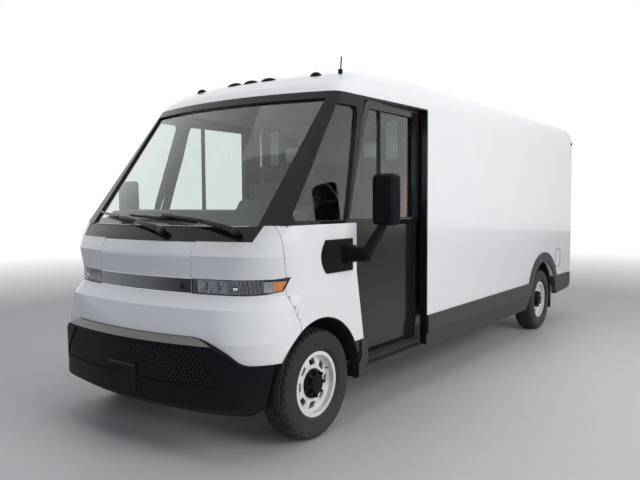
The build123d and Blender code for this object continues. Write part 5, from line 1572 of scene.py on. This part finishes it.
@dataclass
class CabFittings:
    """Cluster screen, vents, orange belt, grab bars and the bulkhead's pale panes, whose colour is
    painted light.

    Places are given as (x, millimetres behind the front axle, z).
    """

    cluster_back: float = -30.0
    vents: tuple[float, ...] = (-0.72, -0.3, 0.25, 0.83)
    vent_back: float = 96.0
    slats: int = 4
    belt_run: tuple[Point, ...] = ((0.882, 1480, 1.87), (0.881, 1455, 1.72), (0.878, 1428, 1.52),
                                   (0.872, 1398, 1.33), (0.862, 1372, 1.15))
    belt_across: Point = (0.03, 0.034, 0.01)
    belt_thick: float = 0.0016
    guide: tuple[Point, Point] = ((0.872, 1448, 1.858), (0.894, 1516, 1.9))
    reel: tuple[Point, Point] = ((0.83, 1335, 1.06), (0.894, 1425, 1.155))
    bars: tuple[tuple[str, float, float, float], ...] = (("grab_bar_left", 0.88, 1.46, 2.28),
                                                         ("grab_bar_right", -0.83, 1.78, 2.33))
    bar_back: float = 1545.0
    wall_back: float = 1581.0
    pane_back: float = 1580.0
    panes: tuple[tuple[float, ...], ...] = ((0.378, 0.527, 1.99, 2.13), (0.62, 0.732, 1.966, 2.3))

    def dashboard(self) -> None:
        """Model the display in its bezel, and the air vents with their slats."""
        y = PLACE.back(self.cluster_back)
        hand_over(panel("cluster_bezel", (0.479, y + 0.0005, 1.63), (0.721, y + 0.005, 1.7175), REAR,
                        0.007, 0.003, 0.001, 2), CAB_DARK, "interior_dark")
        hand_over(slab("cluster_screen", (0.488, y + 0.0022, 1.639), (0.712, y + 0.0036, 1.7085), 0.0006,
                       2),
                  SCREEN, "interior_dark")
        members = []
        y = PLACE.back(self.vent_back)
        for x in self.vents:
            members.append(panel("vent", (x - 0.062, y - 0.004, 1.405), (x + 0.062, y + 0.012, 1.475),
                                 REAR, 0.006, 0.009, 0.002, 2))
            for row in range(self.slats):
                z = 1.4185 + row * 0.0145
                members.append(slab("slat", (x - 0.056, y + 0.002, z - 0.0015),
                                    (x + 0.056, y + 0.011, z + 0.0015), 0.0007, 1))
        hand_over(join("dash_vents", members), CAB_DARK, "interior_dark")

    def belt(self) -> None:
        """Model the driver's belt from its upper guide down to the seat, and both its fittings."""
        strap = ribbon("seat_belt", [PLACE.at(*point) for point in self.belt_run], self.belt_across,
                       self.belt_thick)
        hand_over(strap, WEBBING, "interior_dark")
        for name, (low, high), test, margin, depth, round_by in (
                ("belt_guide", self.guide, RIGHT, 0.008, 0.003, 0.004),
                ("belt_reel", self.reel, TOP, 0.012, 0.004, 0.006)):
            hand_over(panel(name, PLACE.at(*low), PLACE.at(*high), test, margin, depth, round_by),
                      CAB_DARK, "interior_dark")

    def rails(self) -> None:
        """Model the bright grab bars beside both doors."""
        y, wall = PLACE.back(self.bar_back), PLACE.back(self.wall_back)
        for name, x, low, high in self.bars:
            bend = [(x, wall, low), (x, y + 0.012, low + 0.002), (x, y, low + 0.02), (x, y, high - 0.02),
                    (x, y + 0.012, high - 0.002), (x, wall, high)]
            hand_over(tube(name, bend, 0.013), SATIN_ALLOY, "silver_trim", smooth=60.0)

    def bulkhead_panes(self) -> None:
        """Model the bulkhead's pale panes, whose colour is painted light from behind, and their dark
        frames.
        """
        y = PLACE.back(self.pane_back)
        for number, (near, far, low, high) in enumerate(self.panes):
            border = panel("border", (near - 0.018, y - 0.009, low - 0.018),
                           (far + 0.018, y, high + 0.018), FRONT, 0.015, 0.005, 0.002, 2)
            pane = slab("pane", (near, y - 0.0055, low), (far, y - 0.0035, high), 0.0008, 2)
            both_sides(border, f"pane_frame_{number}", RUBBER, "interior_grey")
            both_sides(pane, f"bulkhead_pane_{number}", PALE_PANE, "interior_grey")

    def build(self) -> None:
        """Model every fitting."""
        self.dashboard()
        self.belt()
        self.rails()
        self.bulkhead_panes()


# ---- Doors, rear and underside -----------------------------------------------------------------
@dataclass
class DoorTrim:
    """Seals of both sliding doors' panes, their handles and sweeps, the lips and the steps' treads."""

    face_x: float = 0.985
    seal: float = 0.0065
    seal_out: float = 0.004
    pull_back: float = 435.0
    tread_low: Point = (0.991, 545.0, 0.379)
    tread_high: Point = (1.034, 1440.0, 0.3825)

    def pull(self) -> Piece:
        """Model the flush handle with its grip."""
        x, at = self.face_x, PLACE.at
        cup = panel("cup", at(x - 0.002, 400, 1.17), at(x + 0.004, 470, 1.4), LEFT, 0.012, 0.004, 0.0015,
                    2)
        run = ((0.001, 1.2), (0.006, 1.215), (0.006, 1.355), (0.001, 1.37))
        return join("pull", [cup, tube("grip", [at(x + out, self.pull_back, z) for out, z in run],
                                       0.006)])

    def build(self) -> None:
        """Model the left door's trim and mirror it."""
        x, at = self.face_x, PLACE.at
        seal = rim_tube("door_glass_left", "seal", LEFT, self.seal)
        seal.data.transform(Matrix.Translation((self.seal_out, 0, 0)))
        sweep = panel("sweep", at(x - 0.004, 352, 0.42), at(x + 0.004, 1490, 0.448), LEFT, 0.006, 0.002,
                      0.001, 2)
        lip = panel("lip", at(0.899, 1452, 0.68), at(0.913, 1500, 2.32), LEFT, 0.01, 0.004, 0.003, 2)
        tread = ribbed("tread", at(*self.tread_low), at(*self.tread_high), 0, 6, TOP, 0.0014, 0.0028)
        for model, name, finish, body in (
                (seal, "door_glass_seals", RUBBER, "door_{}"),
                (self.pull(), "door_pull", GLOSS_BLACK, "door_{}"),
                (sweep, "door_sweep", RUBBER, "door_{}"), (lip, "door_lip", RUBBER, "chassis"),
                (tread, "step_tread", RUBBER, "chassis")):
            both_sides(model, name, finish, body=body)


@dataclass
class RearTrim:
    """Rear shutter's handle and lock, lamp rims and lenses, bumper tread, blank plate, mud flaps,
    roof corner lamps, grab handles and the charge flap's gasket."""

    door_face: float = 3.306
    frame_face: float = 3.32
    lock_z: float = 0.805
    lift_z: float = 0.86
    guide_x: float = 0.874
    tread_half: float = 0.82
    tread_ribs: int = 60
    bumper_top: float = 0.561
    flap_back: float = 5105.0
    flap_seal: float = 0.0028
    flap_scale: float = 0.93
    corner_lamp: Pair = (3.29, 2.37)
    lamp_section: tuple[Pair, ...] = ((0.0, 0.011), (0.01, 0.0105), (0.017, 0.007), (0.02, 0.0),
                                      (0.021, -0.003), (0.0, -0.003))
    lens_section: tuple[Pair, ...] = ((0.0, 0.0125), (0.006, 0.012), (0.009, 0.0105), (0.0, 0.009))
    lock_section: tuple[Pair, ...] = ((0.0, 0.014), (0.016, 0.013), (0.02, 0.008), (0.022, 0.0),
                                      (0.0, 0.0))
    grip_x: float = 0.962
    grip_run: tuple[Pair, ...] = ((0.0, 1.5), (0.03, 1.51), (0.034, 1.54), (0.034, 1.81), (0.03, 1.84),
                                  (0.0, 1.85))

    def shutter(self) -> None:
        """Model the lift handle, lock and side guides of the rear shutter."""
        y, z = self.door_face, self.lift_z
        lift = [(-0.34, y, z), (-0.335, y + 0.028, z), (-0.2, y + 0.03, z), (-0.185, y, z)]
        members = [tube("lift", lift, 0.008)]
        for x in (-0.36, -0.203):
            members.append(slab("foot", (x, y, z - 0.018), (x + 0.038, y + 0.004, z + 0.018), 0.0015, 2))
        members.append(lathe("lock", self.lock_section, (0.0, y + 0.01, self.lock_z), AXIS_Y, 24))
        hand_over(join("shutter_handle", members), BARE_STEEL, "silver_trim")
        x = self.guide_x
        guide = panel("guide", (x - 0.012, y - 0.004, 0.67), (x + 0.012, y + 0.01, 2.25), REAR, 0.005,
                      0.004, 0.0015, 2)
        both_sides(guide, "shutter_guide", RUBBER)

    def lamps(self) -> None:
        """Model the lamp gaskets and the ribbed lenses' clear bands."""
        hand_over(rim_tube("tail_lamps", "tail_lamp_gaskets", REAR, 0.0035, 0.1), RUBBER)
        band = ribbed("band", (0.922, 3.3275, 1.09), (0.998, 3.3315, 1.17), 2, 8, REAR, 0.0018, 0.0015)
        both_sides(band, "reverse_lens", PALE_PANE, "lamp", smooth=20.0)

    def step(self) -> None:
        """Model the ribbed tread on the rear bumper and the blank plate's holder."""
        half, top, y = self.tread_half, self.bumper_top, self.frame_face
        tread = ribbed("bumper_tread", (-half, 3.268, top - 0.001), (half, 3.318, top + 0.002), 0,
                       self.tread_ribs, TOP, 0.006, 0.0025)
        hand_over(tread, RUBBER, smooth=20.0)
        hand_over(panel("rear_plate_blank", (-0.16, y + 0.0012, 0.452), (0.16, y + 0.0052, 0.542), REAR,
                        0.008, 0.0015, 0.0012, 2), BLACK_PLASTIC)

    def flaps(self) -> None:
        """Model the mud flaps behind the rear wheels, with their clamp bars."""
        y = PLACE.back(self.flap_back)
        both_sides(panel("flap", (0.79, y, 0.21), (1.02, y + 0.006, 0.62), FRONT, 0.02, 0.0015, 0.0012,
                         2),
                   "mud_flap", RUBBER)
        both_sides(slab("bar", (0.785, y - 0.006, 0.585), (1.025, y + 0.012, 0.62), 0.003, 2),
                   "mud_flap_bar", FRAME_PAINT)

    def corner_lamps(self) -> None:
        """Model the small clearance lamps at the roof's rear corners."""
        y, z = self.corner_lamp
        spot, normal, _, _ = surface("rear_frame").ray_cast(Vector((OUTSIDE, y, z)), -Vector(AXIS_X))
        both_sides(lathe("lamp", self.lamp_section, spot, normal, 20), "corner_lamp", GLOSS_BLACK, "lamp",
                   smooth=60.0)
        both_sides(lathe("lens", self.lens_section, spot, normal, 16), "corner_lamp_lens", RED_LENS,
                   "lamp", smooth=60.0)

    def grips(self) -> None:
        """Model the upright grab handles beside the rear opening."""
        x, y = self.grip_x, self.frame_face
        members = [tube("bar", [(x, y + out, z) for out, z in self.grip_run], 0.009)]
        for z in (self.grip_run[0][1], self.grip_run[-1][1]):
            members.append(slab("foot", (x - 0.02, y - 0.001, z - 0.022),
                                (x + 0.02, y + 0.004, z + 0.022), 0.0015, 2))
        both_sides(join("grip", members), "rear_grab_handle", BLACK_PLASTIC, smooth=50.0)

    def charge_port(self) -> None:
        """Model the gasket round the charge flap, drawn in so that it clears the body side."""
        ring = rim_tube("charge_port_door", "charge_flap_gasket", LEFT, self.flap_seal, 0.1)
        low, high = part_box("charge_port_door")
        middle = (low + high) / 2
        ring.data.transform(Matrix.Translation(middle)
                            @ Matrix.Diagonal((1, self.flap_scale, self.flap_scale, 1))
                            @ Matrix.Translation(-middle))
        hand_over(ring, RUBBER, body="charge_port_door")

    def build(self) -> None:
        """Model everything on the rear and the side's charge flap."""
        for part in (self.shutter, self.lamps, self.step, self.flaps, self.corner_lamps, self.grips,
                     self.charge_port):
            part()


@dataclass
class Underside:
    """Bolt heads with their washers along the battery's flanges."""

    bolt: float = 0.011
    count: int = 12
    inset: float = 0.05

    def build(self) -> None:
        """Model one bolt head with its washer and copy it along both sides of the battery."""
        low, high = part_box("battery_pack")
        head = disc("head", (0, 0, -0.004), self.bolt, 0.008, AXIS_Z, 6)
        recess(head, BELOW, 0.003, 0.002)
        bevelled(head, 0.0008, 1)
        washer = disc("washer", (0, 0, 0.0005), self.bolt * 1.7, 0.002, AXIS_Z, 20, self.bolt * 1.5)
        model = join("bolt", [head, washer])
        copies = []
        for x in (low.x + self.inset, high.x - self.inset):
            for number in range(self.count):
                y = low.y + self.inset + (high.y - low.y - 2 * self.inset) * number / (self.count - 1)
                copies.append(copy_of(model, "bolt_copy", Matrix.Translation((x, y, low.z - 0.0005))))
        drop(model)
        hand_over(join("battery_bolts", copies), BARE_STEEL, "battery")


# ---- Stage: floor, lights, camera --------------------------------------------------------------
@dataclass
class Studio:
    """Pale floor, soft lights, white surroundings and the camera.

    A lamp gives its name, place, aim, size, power and colour.
    """

    focal: float = 36.51
    sensor: float = 36.0
    eye: Point = (3.5795, -3451.9, 1.5897)
    yaw: float = 36.3
    pitch: float = 3.3
    roll: float = -0.3
    far_clip: float = 200.0
    floor_size: float = 60.0
    floor_pale: Colour = (0.6, 0.6, 0.605)
    floor_dark: Colour = (0.56, 0.56, 0.565)
    floor_rough: float = 0.55
    fade_from: float = 6.0
    fade_over: float = 9.0
    sky: Colour = (0.8, 0.88, 1.0)
    sky_strength: float = 0.24
    lamps: tuple[tuple[str, Point, Point, float, float, Colour], ...] = (
        ("key_side", (8.5, -1.6, 4.2), (0.0, -0.4, 1.3), 6.0, 455.0, (1.0, 0.99, 0.97)),
        ("sky_soft", (0.0, -1.0, 8.5), (0.0, 0.0, 0.0), 7.0, 230.0, (1.0, 1.0, 1.0)),
        ("nose_fill", (-2.0, -9.5, 2.2), (0.0, -2.5, 0.9), 4.0, 30.0, (0.85, 0.92, 1.0)))

    def camera(self) -> None:
        """Place the camera at the chosen view."""
        take()
        bpy.ops.object.camera_add()
        camera = fresh("view")
        yaw, pitch, roll = (math.radians(angle) for angle in (self.yaw, self.pitch, self.roll))
        turn = (Matrix.Rotation(yaw, 4, "Z") @ Matrix.Rotation(math.pi / 2 - pitch, 4, "X")
                @ Matrix.Rotation(roll, 4, "Z"))
        camera.matrix_world = Matrix.Translation(PLACE.at(*self.eye)) @ turn
        camera.data.lens = self.focal
        camera.data.sensor_width = self.sensor
        camera.data.sensor_fit = "HORIZONTAL"
        camera.data.clip_end = self.far_clip
        bpy.context.scene.camera = camera

    def lamp(self, name: str, place: Point, aim: Point, size: float, power: float,
             colour: Colour) -> None:
        """One soft square light at a place, turned towards its aim."""
        take()
        bpy.ops.object.light_add(type="AREA", location=place)
        light = fresh(name)
        light.rotation_euler = (Vector(aim) - Vector(place)).to_track_quat("-Z", "Y").to_euler()
        light.data.shape = "SQUARE"
        light.data.size = size
        light.data.energy = power
        light.data.color = colour
        light.visible_glossy = False

    def world(self) -> None:
        """White surroundings to the eye and in reflections, a plain pale level for the lighting."""
        world = bpy.data.worlds.new("studio")
        bpy.context.scene.world = world
        world.use_nodes = True
        tree = world.node_tree
        tree.nodes.clear()
        path = put(tree, "LightPath").outputs
        seen = reckon(tree, "MAXIMUM", path["Is Camera Ray"], path["Is Transmission Ray"])
        seen = reckon(tree, "MAXIMUM", seen, path["Is Glossy Ray"])
        light = put(tree, "Background", {"Color": (*self.sky, 1.0), "Strength": self.sky_strength})
        shown = put(tree, "Background", {"Color": WHITE, "Strength": 1.0})
        mix_shader(tree, seen, light, shown, put(tree, "OutputWorld"))

    def wire_floor(self, tree: Tree, shader: bpy.types.Node) -> None:
        """Add the floor's nodes: a faint mottle, and a fade to white far off for the camera."""
        place = object_place(tree)
        colour = mix_colour(tree, noise(tree, place, 6.0, 4.0), self.floor_dark, self.floor_pale)
        tree.links.new(colour, shader.inputs["Base Color"])
        shader.inputs["Roughness"].default_value = self.floor_rough
        far = put(tree, "VectorMath", {0: place}, operation="LENGTH").outputs["Value"]
        past = reckon(tree, "SUBTRACT", far, self.fade_from)
        fade = reckon(tree, "DIVIDE", past, self.fade_over, clamp=True)
        fade = reckon(tree, "MULTIPLY", fade, put(tree, "LightPath").outputs["Is Camera Ray"])
        glow = put(tree, "Emission", {"Color": WHITE, "Strength": 1.0})
        mix_shader(tree, fade, shader, glow, tree.nodes["Material Output"])

    def build(self) -> None:
        """Set up the whole stage."""
        bpy.context.scene.view_settings.view_transform = "Standard"
        self.camera()
        self.world()
        take()
        bpy.ops.mesh.primitive_grid_add(x_subdivisions=4, y_subdivisions=4, size=self.floor_size)
        floor = fresh("floor")
        floor.data.materials.append(material_of("studio floor", self.wire_floor))
        for lamp in self.lamps:
            self.lamp(*lamp)


def main() -> None:
    """Build the stage and every sub-assembly, in order."""
    logging.basicConfig(level=logging.INFO, format="%(message)s")
    Studio().build()
    paint_frame()
    for assembly in (Wheel(), Headlamps(), FrontTrim(), BodyPanels(), Glazing(), Mirrors(),
                     SteeringWheel(), Seats(), CabFittings(), DoorTrim(), RearTrim(), Underside()):
        assembly.build()


if __name__ == "__main__":
    main()
